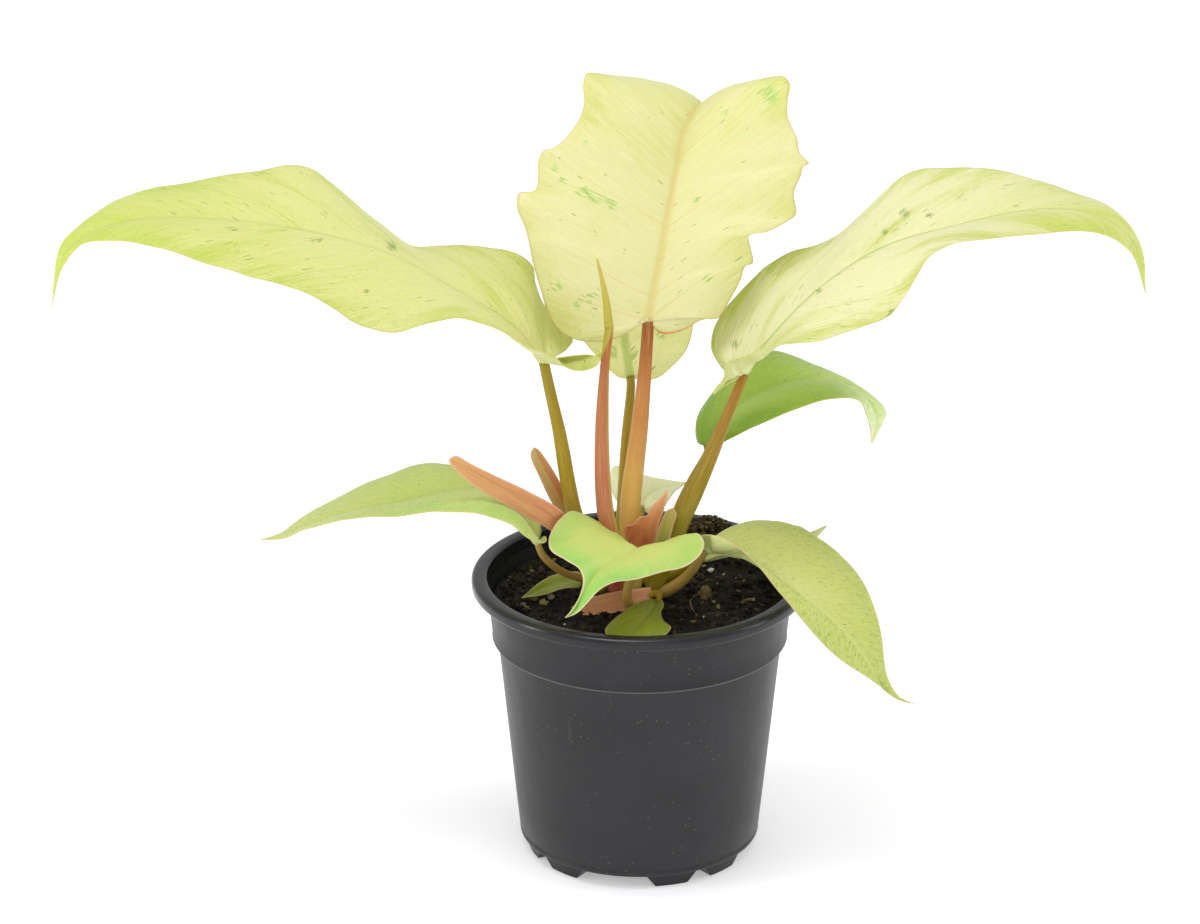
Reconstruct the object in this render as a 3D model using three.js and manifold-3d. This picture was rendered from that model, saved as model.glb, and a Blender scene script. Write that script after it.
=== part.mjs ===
// A snowdrift philodendron in its nursery pot.
// Millimetres, +Z up. The table is z = 0, and the origin lies under the middle of the whole plant.

import * as THREE from 'three';
import { mergeVertices } from 'three/addons/utils/BufferGeometryUtils.js';
import Module from 'manifold-3d';

const wasm = await Module();
wasm.setup();

// The pot, a common 12 cm nursery pot
const RIM_RADIUS = 60;
const POT_HEIGHT = 104.4;
const MOUTH_RADIUS = 54.2;
const RIM_DROP = 4.7;
const LIP_THICKNESS = 1.4;
const COLLAR_RADIUS = 53.7;
const COLLAR_FOOT_RADIUS = 52.4;
const COLLAR_FOOT_Z = 81;
const SHOULDER_RADIUS = 50.6;
const SHOULDER_Z = 80.2;
const BASE_RADIUS = 43;
const BASE_Z = 6.2;
const WALL = 1.3;
const FLOOR_THICKNESS = 1.6;
const FLOOR_Z = 4.8;
const POT_SIDES = 48;
const LEDGE_THICKNESS = 1;
const LIP_FILLET = { out: 0.6, drop: 1, depth: 4 };
const RIM_ROUND = 1.3;
const MOUTH_ROUND = { out: 0.8, drop: 1 };
const HEEL_ROUND = { in: 0.3, drop: 0.7 };
const INNER_HEEL = 1.5;
const HALF_HEIGHT = 38;

// The eight feet stand in four pairs, a narrow notch inside each pair and a wide gap between pairs
const FOOT_INNER_RADIUS = 32;
const FOOT_OUTER_RADIUS = 41.8;
const FOOT_TAPER = 1.2;
const FOOT_NARROWING = 0.38;
const FOOT_STOPS = 4;
const FOOT_SET_IN = 0.4;
const FOOT_SINK = 0.6;
const PAIR_COUNT = 4;
const PAIR_FIRST = -58;
const PAIR_STEP = 90;
const FOOT_HALF_SPREAD = 15.5;
const FOOT_HALF_WIDTH = 14;
const DRAIN_RADIUS = 4;
const DRAIN_CENTRE_RADIUS = 26;
const DRAIN_DEPTH = 8;
const DRAIN_SIDES = 12;

// Soil, stem and roots
const SOIL_LEVEL = 95;
const SOIL_GAP = 0.4;
const SOIL_RINGS = [0, 9, 18, 27, 36, 44, 51.9];
const SOIL_SIDES = 36;
const SOIL_HEEL = { in: 0.2, up: 1.8 };
const CRUMB_HEIGHT = 0.7;
const MOUND = { x: 27, y: 38, height: 8.5, spread: 13 };
const CROWN = { x: -4, y: 3 };
const STEM_LEVELS = [68, 78, 88, 96.5];
const STEM_RADII = [4.5, 6.5, 8.5, 9.5, 9];
const STEM_SIDES = 12;
const ROOT_COUNT = 6;
const ROOT_RADIUS = 1.3;
const ROOT_TIP_RADIUS = 0.7;
const ROOT_TURN = 0.6;
const ROOT_FIRST_TURN = 0.4;
const ROOT_REACH = { middle: 27, change: 5, wave: 2.1 };
const ROOT_END_Z = { middle: 22, change: 9, wave: 1.7 };
const ROOT_TOP_Z = 80;
const ROOT_WAY = [{ share: 0.35, z: 70 }, { share: 0.75, z: 52 }, { share: 1, z: 36 }];
const ROOT_OVERREACH = 1.05;

// Leaves
const BLADE = 0.8;
const KEEL = 1.7;
const SHEATH = 1;
const SHEATH_KEEL = 1.4;
const GAP = 0.35;
const SLIVER_HEIGHT = 0.02;
const SLIVER_EDGE = 0.3;
const STALK_TIP = 0.6;
const STALK_STEP = 11;
const STALK_SIDES = 8;
const THICK_STALK_SIDES = 10;
const ROLL_SIDES = 6;
const BLADE_COLUMNS = [0, 0.08, 0.34, 0.66, 1];
const SMALL_COLUMNS = [0, 0.12, 0.5, 1];
// A row whose vein runs this near to along the rib takes its neighbour's facing
const CLEAR_LEAN = 0.6;
const POOR_LEAN = 0.45;
const NORMAL_REACH = 2;
const KEEL_TAPER = 0.8;
const FULL_ARCH_WIDTH = 20;
const CURL_START = 0.04;
const CURL_END = 0.2;

// The front view that the outlines are read in, and how a point of it is placed
const VIEW_DROP = THREE.MathUtils.degToRad(22);
const VIEW_DISTANCE = 2000;
const VIEW_MIDDLE = { column: 600, row: 462 };
const VIEW_TARGET = new THREE.Vector3(-14.2, 0, 147);
const VIEW_STEP = 0.353;

// Where the pot's axis stands, so that the origin is under the middle of the plant
const POT_AXIS = { x: 14.5, y: -25 };

const COLOURS = {
  pot: 0x3b3e43,
  soil: 0x1d1814,
  root: 0xb59a6c,
  cream: 0xe9e6a8,
  pale: 0xdfe28e,
  lime: 0xb9d979,
  green: 0x8cb552,
  olive: 0x8f8433,
  ochre: 0xc79a4a,
  salmon: 0xcf8560,
  pink: 0xc4735f,
};

const sight = new THREE.Vector3(0, Math.cos(VIEW_DROP), -Math.sin(VIEW_DROP));
const rise = new THREE.Vector3(0, Math.sin(VIEW_DROP), Math.cos(VIEW_DROP));
const eye = VIEW_TARGET.clone().addScaledVector(sight, -VIEW_DISTANCE);

// The point that the front view shows at a column and row, at a depth of back mm behind the pot's axis
function seen([column, row, back]) {
  const ray = sight.clone().multiplyScalar(VIEW_DISTANCE);
  ray.x += (column - VIEW_MIDDLE.column) * VIEW_STEP;
  ray.addScaledVector(rise, (VIEW_MIDDLE.row - row) * VIEW_STEP);
  return eye.clone().addScaledVector(ray, (back - eye.y) / ray.y);
}

function curveThrough(points) {
  return new THREE.CatmullRomCurve3(points.map(seen), false, 'centripetal');
}

// A closed mesh from its points and triangles, with doubled points merged and empty triangles left out
function closedGeometry(points, triangles) {
  const raw = new THREE.BufferGeometry();
  raw.setAttribute('position', new THREE.Float32BufferAttribute(points.flatMap((p) => p.toArray()), 3));
  raw.setIndex(triangles.flat());
  const merged = mergeVertices(raw, 1e-4);
  const index = merged.getIndex();
  const kept = [];
  for (let i = 0; i < index.count; i += 3) {
    const [a, b, c] = [index.getX(i), index.getX(i + 1), index.getX(i + 2)];
    if (a !== b && b !== c && c !== a) kept.push(a, b, c);
  }
  merged.setIndex(kept);
  return merged;
}

function toSolid(geometry) {
  const bare = geometry.clone();
  bare.deleteAttribute('normal');
  bare.deleteAttribute('uv');
  const merged = mergeVertices(bare, 1e-4);
  return new wasm.Manifold(new wasm.Mesh({
    numProp: 3,
    vertProperties: new Float32Array(merged.getAttribute('position').array),
    triVerts: new Uint32Array(merged.getIndex().array),
  }));
}

function toGeometry(solid) {
  const mesh = solid.getMesh();
  const geometry = new THREE.BufferGeometry();
  geometry.setAttribute('position', new THREE.BufferAttribute(new Float32Array(mesh.vertProperties), 3));
  geometry.setIndex(new THREE.BufferAttribute(new Uint32Array(mesh.triVerts), 1));
  return geometry;
}

// A closed mesh without its slivers: where a triangle is very thin, its short edge is drawn together
function withoutSlivers(geometry) {
  const place = geometry.getAttribute('position');
  const index = geometry.getIndex();
  const corners = Array.from({ length: place.count }, (_, i) => new THREE.Vector3().fromBufferAttribute(place, i));
  let faces = Array.from({ length: index.count / 3 }, (_, i) => [0, 1, 2].map((k) => index.getX(i * 3 + k)));
  const around = (i) => new Set(faces.filter((face) => face.includes(i)).flat());
  const spread = ([a, b, c]) => {
    const ab = corners[b].clone().sub(corners[a]);
    return ab.cross(corners[c].clone().sub(corners[a])).length();
  };
  const left = new Set();
  const thinnest = () => {
    let worst = null;
    for (const [a, b, c] of faces) {
      const sides = [[a, b], [b, c], [c, a]].map((side) => ({
        side, key: side.toSorted().join(' '), length: corners[side[0]].distanceTo(corners[side[1]]),
      }));
      sides.sort((p, q) => p.length - q.length);
      const [short, , long] = sides;
      const height = spread([a, b, c]) / long.length;
      const counts = height < SLIVER_HEIGHT && short.length < SLIVER_EDGE && !left.has(short.key);
      if (counts && (!worst || height < worst.height)) worst = { ...short, height };
    }
    return worst;
  };
  for (let sliver = thinnest(); sliver; sliver = thinnest()) {
    const [a, b] = sliver.side;
    const besideB = around(b);
    const shared = [...around(a)].filter((i) => besideB.has(i) && i !== a && i !== b);
    if (shared.length === 2) {
      faces = faces.map((face) => face.map((i) => (i === b ? a : i)))
        .filter((face) => new Set(face).size === 3);
    } else {
      left.add(sliver.key);
    }
  }
  return closedGeometry(corners, faces);
}

// What is left of a solid beside its neighbours, without loose scraps
function carved(solid, neighbours) {
  const left = neighbours.reduce((body, neighbour) => body.subtract(neighbour), solid);
  const pieces = left.decompose();
  return pieces.reduce((best, piece) => (piece.volume() > best.volume() ? piece : best));
}

// A tapered round body along a path: radii are spread evenly from its first point to its last
function tube(path, radii, { sides = 8, steps = 12, grow = 0, flatten = 1 } = {}) {
  const frames = path.computeFrenetFrames(steps, false);
  const points = [];
  const triangles = [];
  for (let i = 0; i <= steps; i += 1) {
    const at = i / steps;
    const place = at * (radii.length - 1);
    const low = Math.min(Math.floor(place), radii.length - 2);
    const radius = THREE.MathUtils.lerp(radii[low], radii[low + 1], place - low) + grow;
    const centre = path.getPointAt(at);
    if (i === 0) centre.addScaledVector(frames.tangents[i], -grow);
    if (i === steps) centre.addScaledVector(frames.tangents[i], grow);
    for (let k = 0; k < sides; k += 1) {
      const angle = (k / sides) * Math.PI * 2;
      points.push(centre.clone()
        .addScaledVector(frames.normals[i], Math.cos(angle) * radius)
        .addScaledVector(frames.binormals[i], Math.sin(angle) * radius * flatten));
    }
  }
  for (let i = 0; i < steps; i += 1) {
    for (let k = 0; k < sides; k += 1) {
      const a = i * sides + k;
      const b = i * sides + ((k + 1) % sides);
      triangles.push([a, b, b + sides], [a, b + sides, a + sides]);
    }
  }
  const last = steps * sides;
  for (let k = 1; k < sides - 1; k += 1) {
    triangles.push([0, k + 1, k], [last, last + k, last + k + 1]);
  }
  return toSolid(closedGeometry(points, triangles));
}

// Lengths run along a list of points
function runs(points) {
  const lengths = [0];
  for (let i = 1; i < points.length; i += 1) {
    lengths.push(lengths[i - 1] + points[i].distanceTo(points[i - 1]));
  }
  return lengths;
}

// How far along the midrib each margin point's vein starts: those of the base lobes fan out from the stalk
function veinStarts(left, right, fan) {
  const shares = [left, right].map((side) => {
    const lengths = runs(side);
    const whole = lengths[lengths.length - 1] - lengths[fan];
    return lengths.map((length) => Math.max(0, (length - lengths[fan]) / whole));
  });
  return shares[0].map((share, i) => (share + shares[1][i]) / 2);
}

// The direction that the upper face looks in along one half of a blade, steady where a vein runs back
function upperNormals(ribs, tangents, margin, side) {
  const normals = margin.map((point, i) => {
    const across = point.clone().sub(ribs[i]).normalize();
    return tangents[i].clone().cross(across).multiplyScalar(side);
  });
  const clear = normals.findIndex((normal) => normal.length() > CLEAR_LEAN);
  const steady = normals.map((normal) => {
    const kept = normal.length() > POOR_LEAN ? normal : normals[clear];
    return kept.clone().normalize();
  });
  return steady.map((normal, i) => {
    const sum = new THREE.Vector3();
    for (let k = -NORMAL_REACH; k <= NORMAL_REACH; k += 1) {
      sum.add(steady[THREE.MathUtils.clamp(i + k, 0, steady.length - 1)]);
    }
    return sum.normalize();
  });
}

// A thin blade between its midrib and its two margins. Margins run from the stalk round the lobe to the
// tip and have as many points on the left as on the right, seen from above with the tip ahead.
function blade({ midrib, left, right, fan = 0, arch, curl = [0, 0], split = 1, columns = BLADE_COLUMNS,
  thickness = BLADE, keel = KEEL }) {
  const rib = curveThrough(midrib);
  const rowCount = (left.length - 1) * split;
  const sample = (list) => {
    const curve = curveThrough(list);
    return Array.from({ length: rowCount + 1 }, (_, i) => curve.getPoint(i / rowCount));
  };
  const margins = [sample(left), sample(right)];
  const starts = veinStarts(margins[0], margins[1], fan * split);
  const ribs = starts.map((start) => rib.getPointAt(start));
  const tangents = starts.map((start) => rib.getTangentAt(start));
  const { smoothstep } = THREE.MathUtils;
  const curled = starts.map((start) => (
    smoothstep(start, 0, CURL_START) * (1 - smoothstep(start, CURL_START, CURL_END))));

  const points = [];
  const depths = [];
  const grid = [[], []];
  const normals = margins.map((margin, half) => upperNormals(ribs, tangents, margin, half === 0 ? 1 : -1));
  margins.forEach((margin, half) => {
    for (let i = 0; i <= rowCount; i += 1) {
      const wide = Math.min(1, margin[i].distanceTo(ribs[i]) / FULL_ARCH_WIDTH);
      const middle = normals[0][i].clone().add(normals[1][i]).normalize();
      grid[half].push(columns.map((s) => {
        const point = ribs[i].clone().lerp(margin[i], s);
        const swell = arch[half] * wide + curl[half] * curled[i];
        point.addScaledVector(normals[half][i], swell * 4 * s * (1 - s));
        points.push(point);
        const ridge = s === 0 ? (keel - thickness) * wide * (1 - KEEL_TAPER * starts[i]) : 0;
        const down = middle.clone().lerp(normals[half][i], s).normalize();
        depths.push(down.multiplyScalar(-thickness - ridge));
        return points.length - 1;
      }));
    }
  });

  const sheet = [];
  grid.forEach((rows, half) => {
    for (let i = 0; i < rowCount; i += 1) {
      for (let j = 0; j < columns.length - 1; j += 1) {
        const [a, b, c, d] = [rows[i][j], rows[i][j + 1], rows[i + 1][j + 1], rows[i + 1][j]];
        const quad = half === 0 ? [[a, c, b], [a, d, c]] : [[a, b, c], [a, c, d]];
        sheet.push(...quad);
      }
    }
  });
  return thickened(points, depths, sheet);
}

// A solid under a sheet of triangles, each point going down along its own depth
function thickened(points, depths, sheet) {
  const keys = new Map();
  const merged = [];
  const mergedDepths = [];
  const place = points.map((point, i) => {
    const key = point.toArray().map((v) => Math.round(v * 1000)).join(' ');
    if (!keys.has(key)) {
      keys.set(key, merged.length);
      merged.push(point);
      mergedDepths.push(depths[i]);
    }
    return keys.get(key);
  });
  const faces = sheet.map((face) => face.map((i) => place[i]))
    .filter(([a, b, c]) => a !== b && b !== c && c !== a);

  const edges = new Map();
  faces.forEach((face) => {
    face.forEach((i, k) => {
      edges.set(`${i} ${face[(k + 1) % 3]}`, [i, face[(k + 1) % 3]]);
    });
  });
  const count = merged.length;
  const under = merged.map((point, i) => point.clone().add(mergedDepths[i]));
  const walls = [...edges.values()].filter(([a, b]) => !edges.has(`${b} ${a}`));
  const triangles = [
    ...faces,
    ...faces.map(([a, b, c]) => [a + count, c + count, b + count]),
    ...walls.flatMap(([a, b]) => [[b, a, a + count], [b, a + count, b + count]]),
  ];
  return toSolid(closedGeometry([...merged, ...under], triangles));
}

// Guide points are [column, row, back]: the front view's column and row, and mm behind the pot's axis

// The large pale leaf that arches far to the left
const LEFT_LARGE = {
  stalk: [[601, 590, 1], [590, 557, 0], [574, 511, -1], [559, 430, 1], [551, 395, 3], [545, 367, 4]],
  stalkRadii: [3.1, 3, 2.8, 2.6, 2.1],
  midrib: [[544, 362, 4], [520, 331, 3], [497, 313, 2], [453, 287, 1], [387, 252, 0], [310, 231, -2],
    [234, 220, -3], [145, 218, -5], [92, 231, -7], [62, 258, -9], [51, 308, -10]],
  left: [[550, 361, 2], [562, 358, -3], [577, 356, -6], [591, 355, -8], [600, 358, -11],
    [596, 366, -14], [587, 370, -15], [577, 371, -16], [566, 367, -17], [556, 359, -18],
    [544, 352, -19], [530, 347, -20], [516, 340, -21], [502, 331, -23], [480, 322, -26],
    [460, 318, -29], [430, 322, -34], [395, 332, -38], [360, 325, -40], [330, 307, -40],
    [300, 290, -40], [250, 277, -38], [163, 249, -30], [106, 240, -20], [80, 246, -14],
    [62, 268, -11], [51, 308, -10]],
  right: [[550, 359, 5], [560, 353, 8], [568, 348, 11], [573, 341, 14], [570, 334, 17],
    [562, 327, 20], [553, 318, 24], [546, 309, 27], [541, 300, 29], [537, 289, 32], [534, 278, 34],
    [533, 267, 35], [523, 257, 37], [507, 250, 38], [488, 247, 38], [464, 246, 38], [438, 246, 38],
    [413, 245, 38], [372, 217, 38], [333, 183, 37], [306, 166, 36], [260, 170, 32], [180, 184, 24],
    [122, 196, 16], [80, 225, 2], [60, 246, -5], [51, 308, -10]],
  fan: 9,
  arch: [2, 1.5],
  curl: [-3.5, 0],
};

// The cream leaf in the middle, which faces the front and folds over to the back along its top
const CENTRE = {
  stalk: [[631, 592, 2], [631, 545, 1], [630.5, 507, 1], [640, 424, 4], [645, 370, 7], [648, 328, 9]],
  stalkRadii: [4, 3.9, 3.8, 3.4, 2.9, 2.3],
  midrib: [[648, 321, 9], [655, 285, 17], [663, 244, 28], [669, 209, 37], [678, 162, 48],
    [684, 132, 56], [694, 111, 64], [701, 103, 73], [706, 106, 83], [709, 120, 94], [711, 140, 103]],
  left: [[645, 321, 9], [639, 322, 8], [631, 331, 7], [614, 339, 5], [594, 342, 5], [573, 339, 6],
    [557, 329, 8], [547, 311, 10], [541, 291, 12], [533, 264, 16], [529, 244, 19], [525, 228, 23],
    [517, 208, 27], [519, 193, 31], [535, 190, 32], [538, 179, 34], [538, 162, 38], [543, 151, 40],
    [555, 147, 41], [568, 135, 43], [579, 119, 46], [584, 103, 49], [583, 85, 53], [586, 74, 56],
    [596, 73, 60], [619, 76, 73], [650, 85, 88], [683, 107, 99], [711, 140, 103]],
  right: [[651, 321, 9], [655, 329, 8], [665, 334, 7], [684, 330, 7], [702, 320, 8], [718, 318, 9],
    [730, 300, 12], [741, 279, 15], [745, 267, 17], [753, 263, 18], [751, 248, 20], [749, 236, 22],
    [767, 232, 23], [786, 222, 25], [796, 214, 27], [794, 193, 31], [801, 175, 34], [803, 167, 36],
    [809, 163, 37], [800, 153, 39], [797, 138, 42], [788, 117, 46], [788, 101, 49], [790, 84, 53],
    [783, 76, 57], [768, 80, 70], [746, 88, 86], [725, 109, 98], [711, 140, 103]],
  fan: 6,
  arch: [2.5, 2.5],
};

// The large pale leaf on the right
const RIGHT_LARGE = {
  stalk: [[653, 592, -1], [664, 562, -2], [682, 520, -3], [696, 490, -3], [727, 416, -2], [741, 382, -1]],
  stalkRadii: [3.3, 3.3, 3.2, 3, 2.7, 1.9],
  midrib: [[744, 374, 0], [754, 357, 1], [767, 341, 1], [797, 308, 1], [826, 282, 1], [882, 247, 0],
    [949, 227, -1], [1037, 209, -3], [1095, 214, -5], [1132, 240, -7], [1146, 294, -8]],
  left: [[738, 372, 4], [731, 375, 7], [724, 371, 10], [717, 362, 13], [712, 351, 16], [712, 340, 19],
    [714, 329, 22], [719, 318, 25], [727, 306, 27], [735, 296, 28], [743, 287, 30], [753, 277, 32],
    [767, 264, 33], [790, 252, 35], [817, 244, 36], [838, 235, 37], [864, 210, 38], [889, 188, 38],
    [904, 176, 38], [922, 168, 38], [945, 167, 36], [972, 168, 33], [1010, 172, 28], [1070, 190, 20],
    [1118, 212, 8], [1142, 248, -3], [1146, 294, -8]],
  right: [[738, 379, -3], [728, 385, -7], [719, 391, -10], [713, 394, -13], [713, 389, -15],
    [720, 382, -17], [724, 376, -18], [725, 369, -19], [730, 361, -20], [741, 357, -21],
    [751, 353, -22], [762, 348, -23], [775, 344, -25], [797, 343, -28], [817, 341, -31],
    [842, 334, -34], [864, 326, -36], [888, 316, -38], [902, 300, -38], [917, 276, -37],
    [931, 254, -36], [955, 243, -35], [1005, 237, -33], [1060, 232, -28], [1100, 233, -19],
    [1132, 254, -11], [1146, 294, -8]],
  fan: 9,
  arch: [1.2, 1.5],
  curl: [0, -4],
};

// The green leaf behind the right one
const RIGHT_GREEN = {
  stalk: [[646, 584, 8], [664, 548, 10], [680, 505, 14], [692, 480, 19], [708, 450, 26]],
  stalkRadii: [2.1, 2, 1.9, 1.7, 1.5],
  midrib: [[707, 446, 26], [722, 420, 28], [748, 398, 31], [785, 383, 34], [825, 382, 36],
    [856, 393, 38], [876, 414, 39], [872, 444, 39]],
  left: [[704, 446, 28], [698, 443, 30], [695, 433, 33], [696, 420, 37], [701, 408, 41],
    [713, 391, 45], [738, 366, 50], [770, 350, 53], [810, 363, 53], [848, 382, 51], [873, 399, 47],
    [887, 411, 43], [882, 425, 41], [872, 444, 39]],
  right: [[710, 447, 24], [715, 447, 22], [721, 444, 20], [732, 438, 17], [748, 430, 14],
    [772, 419, 12], [796, 409, 12], [820, 401, 13], [840, 398, 15], [852, 399, 19], [862, 404, 24],
    [867, 414, 29], [870, 430, 34], [872, 444, 39]],
  fan: 4,
  arch: [3, 3],
  columns: SMALL_COLUMNS,
};

// The upright leaf at the back, half hidden by the cream one
const BACK_UPRIGHT = {
  stalk: [[621, 582, 9], [620, 545, 12], [622, 507, 15], [626, 440, 20], [631, 384, 24]],
  stalkRadii: [2.1, 2, 1.9, 1.8, 1.7],
  midrib: [[630, 376, 24], [625, 340, 30], [620, 300, 42], [614, 268, 58], [609, 250, 76],
    [604, 250, 94], [600, 268, 110]],
  left: [[628, 378, 23], [620, 377, 21], [609, 368, 21], [596, 355, 23], [585, 342, 26],
    [571, 318, 33], [561, 292, 43], [557, 268, 57], [563, 254, 73], [578, 252, 91], [600, 268, 110]],
  right: [[634, 378, 23], [645, 380, 21], [658, 377, 21], [672, 366, 24], [686, 350, 28],
    [693, 326, 34], [691, 298, 44], [682, 273, 58], [666, 257, 75], [640, 254, 93], [600, 268, 110]],
  fan: 3,
  arch: [-2, -2],
};

// The small pale leaf low at the back
const BACK_LOW = {
  stalk: [[632, 578, 9], [634, 555, 15], [637, 532, 25], [641, 514, 33]],
  stalkRadii: [1.5, 1.4, 1.3, 1.2],
  midrib: [[642, 508, 35], [647, 496, 41], [664, 487, 47], [688, 482, 50]],
  left: [[640, 509, 36], [627, 509, 39], [614, 497, 43], [610, 480, 47], [613, 467, 50],
    [626, 467, 52], [647, 475, 53], [668, 480, 52], [688, 482, 50]],
  right: [[644, 510, 34], [650, 514, 33], [657, 513, 33], [664, 507, 34], [669, 500, 37],
    [674, 493, 41], [679, 488, 45], [683, 485, 48], [688, 482, 50]],
  fan: 3,
  arch: [1.5, 1.5],
  columns: SMALL_COLUMNS,
};

// The low leaf on the left, over the rim
const LEFT_LOW = {
  stalk: [[605, 588, 0], [586, 580, -3], [565, 573, -7], [549, 562, -12], [541, 552, -15]],
  stalkRadii: [1.5, 1.4, 1.3, 1.3, 1.3],
  midrib: [[537, 541, -17], [519, 515, -12], [490, 490, -6], [458, 489, -4], [415, 500, -5],
    [368, 511, -7], [309, 527, -10], [259, 540, -12]],
  left: [[540, 541, -17], [545, 536, -18], [546, 541, -21], [540, 543, -24], [528, 537, -27],
    [510, 524, -29], [476, 513, -30], [439, 512, -29], [392, 516, -27], [344, 520, -24],
    [309, 528, -19], [283, 538, -15], [259, 540, -12]],
  right: [[540, 538, -13], [541, 530, -9], [535, 513, -4], [519, 495, 4], [495, 478, 10],
    [470, 468, 14], [448, 464, 15], [425, 464, 15], [392, 473, 13], [344, 494, 8], [303, 517, 0],
    [277, 535, -7], [259, 540, -12]],
  fan: 3,
  arch: [2, 2],
};

// The bright leaf in front, on a short bent stalk
const FRONT = {
  stalk: [[634, 620, -16], [630, 608, -18], [627, 596, -20], [629, 584, -20], [635, 572, -19]],
  stalkRadii: [1.9, 1.8, 1.7, 1.6, 1.5],
  midrib: [[641, 557, -14], [638, 547, -20], [625, 556, -29], [605, 567, -36], [592, 580, -41],
    [583, 596, -45], [574, 611, -48], [565, 618, -49]],
  left: [[643, 558, -13], [653, 554, -12], [668, 548, -13], [684, 540, -15], [697, 533, -18],
    [704, 541, -22], [700, 555, -28], [686, 566, -34], [665, 572, -38], [640, 578, -42],
    [615, 582, -45], [600, 590, -47], [588, 602, -49], [577, 613, -50], [565, 618, -49]],
  right: [[638, 557, -13], [626, 549, -12], [608, 537, -11], [590, 521, -11], [573, 511, -12],
    [559, 520, -16], [549, 538, -22], [551, 551, -28], [566, 560, -33], [579, 568, -38],
    [583, 581, -42], [580, 594, -45], [575, 605, -48], [569, 614, -49.5], [565, 618, -49]],
  fan: 4,
  arch: [2, 2],
};

// The low leaf that droops over the rim on the right
const RIGHT_LOW = {
  stalk: [[655, 594, -2], [668, 590, -4], [683, 580, -7], [694, 568, -10], [702, 556, -12]],
  stalkRadii: [2.4, 2.3, 2, 1.7, 1.5],
  midrib: [[707, 549, -13], [735, 551, -18], [762, 565, -24], [786, 583, -31], [813, 603, -38],
    [845, 632, -45], [868, 662, -50], [885, 690, -53], [917, 705, -55]],
  left: [[709, 547, -11], [711, 542, -8], [716, 537, -5], [724, 531, -2], [736, 525, 0],
    [757, 520, 2], [780, 521, 1], [802, 528, -3], [822, 540, -9], [842, 556, -16], [860, 577, -25],
    [873, 603, -34], [881, 632, -42], [887, 674, -49], [899, 696, -53], [917, 705, -55]],
  right: [[706, 552, -14], [701, 548, -15], [698, 542, -15.5], [700, 536, -16.5], [708, 535, -18],
    [720, 538, -20], [735, 545, -23], [750, 556, -27], [762, 570, -31], [778, 591, -35],
    [797, 614, -39], [822, 643, -44], [846, 664, -48], [872, 681, -51], [896, 699, -54],
    [917, 705, -55]],
  fan: 4,
  arch: [2, 2],
  curl: [0, -3.5],
};

// The small leaf under it, of which the lobes and the tip show
const RIGHT_SMALL = {
  stalk: [[649, 586, 5], [665, 578, 4], [684, 571, 2], [697, 564, 0]],
  stalkRadii: [2.2, 2.1, 1.8, 1.3],
  midrib: [[703, 558, -1], [745, 549, 3], [780, 539, 7], [810, 533, 10], [828, 525, 12]],
  left: [[705, 555, 2], [708, 547, 5], [723, 540, 9], [748, 531, 12], [775, 526, 14],
    [798, 525, 14], [814, 533, 13], [828, 525, 12]],
  right: [[705, 561, -3], [711, 559, -5], [722, 556, -6], [745, 558, -6], [775, 552, -1],
    [800, 544, 4], [816, 538, 10], [828, 525, 12]],
  fan: 2,
  arch: [1.5, 1.5],
  columns: SMALL_COLUMNS,
};

// The small leaf that lies over the soil on the left
const SOIL_LEFT = {
  stalk: [[610, 585, 9], [602, 581, 8.5], [594, 578, 6.5], [588, 577.5, 4]],
  stalkRadii: [1.3, 1.2, 1.1, 1],
  midrib: [[583, 579, 1], [562, 582, 0], [541, 589, -2], [521, 598, -6]],
  left: [[583, 582, -1], [580, 587, -4], [563, 589, -6], [543, 594, -7], [521, 598, -6]],
  right: [[583, 576, 2], [579, 572, 5], [561, 573, 5], [541, 581, 1], [521, 598, -6]],
  fan: 1,
  arch: [1.5, 1.5],
  split: 2,
  columns: SMALL_COLUMNS,
};

// The small leaf just inside the rim at the front
const FRONT_SMALL = {
  stalk: [[645, 600, -6], [653, 594, -10], [659, 594, -14]],
  stalkRadii: [1.4, 1.3, 1.2],
  midrib: [[658, 602, -19], [650, 612, -27], [638, 625, -36], [622, 640, -46]],
  left: [[662, 600, -19], [664, 606, -23], [661, 613, -28], [664, 621, -33], [671, 628, -38],
    [664, 636, -43], [645, 641, -46], [622, 640, -46]],
  right: [[655, 599, -17], [645, 600, -19], [632, 606, -23], [619, 614, -29], [609, 624, -35],
    [605, 632, -40], [610, 638, -44], [622, 640, -46]],
  fan: 1,
  arch: [2, 2],
  columns: SMALL_COLUMNS,
};

const LEAVES = {
  left_large: { ...LEFT_LARGE, colour: 'pale', stalkColour: 'olive' },
  centre: { ...CENTRE, colour: 'cream', stalkColour: 'salmon' },
  right_large: { ...RIGHT_LARGE, colour: 'pale', stalkColour: 'ochre' },
  right_green: { ...RIGHT_GREEN, colour: 'green', stalkColour: 'olive' },
  back_upright: { ...BACK_UPRIGHT, colour: 'pale', stalkColour: 'olive' },
  back_low: { ...BACK_LOW, colour: 'lime', stalkColour: 'olive' },
  left_low: { ...LEFT_LOW, colour: 'lime', stalkColour: 'ochre' },
  front: { ...FRONT, colour: 'lime', stalkColour: 'ochre' },
  right_low: { ...RIGHT_LOW, colour: 'pale', stalkColour: 'ochre' },
  right_small: { ...RIGHT_SMALL, colour: 'lime', stalkColour: 'olive' },
  soil_left: { ...SOIL_LEFT, colour: 'lime', stalkColour: 'olive' },
  front_small: { ...FRONT_SMALL, colour: 'green', stalkColour: 'olive' },
};

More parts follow.
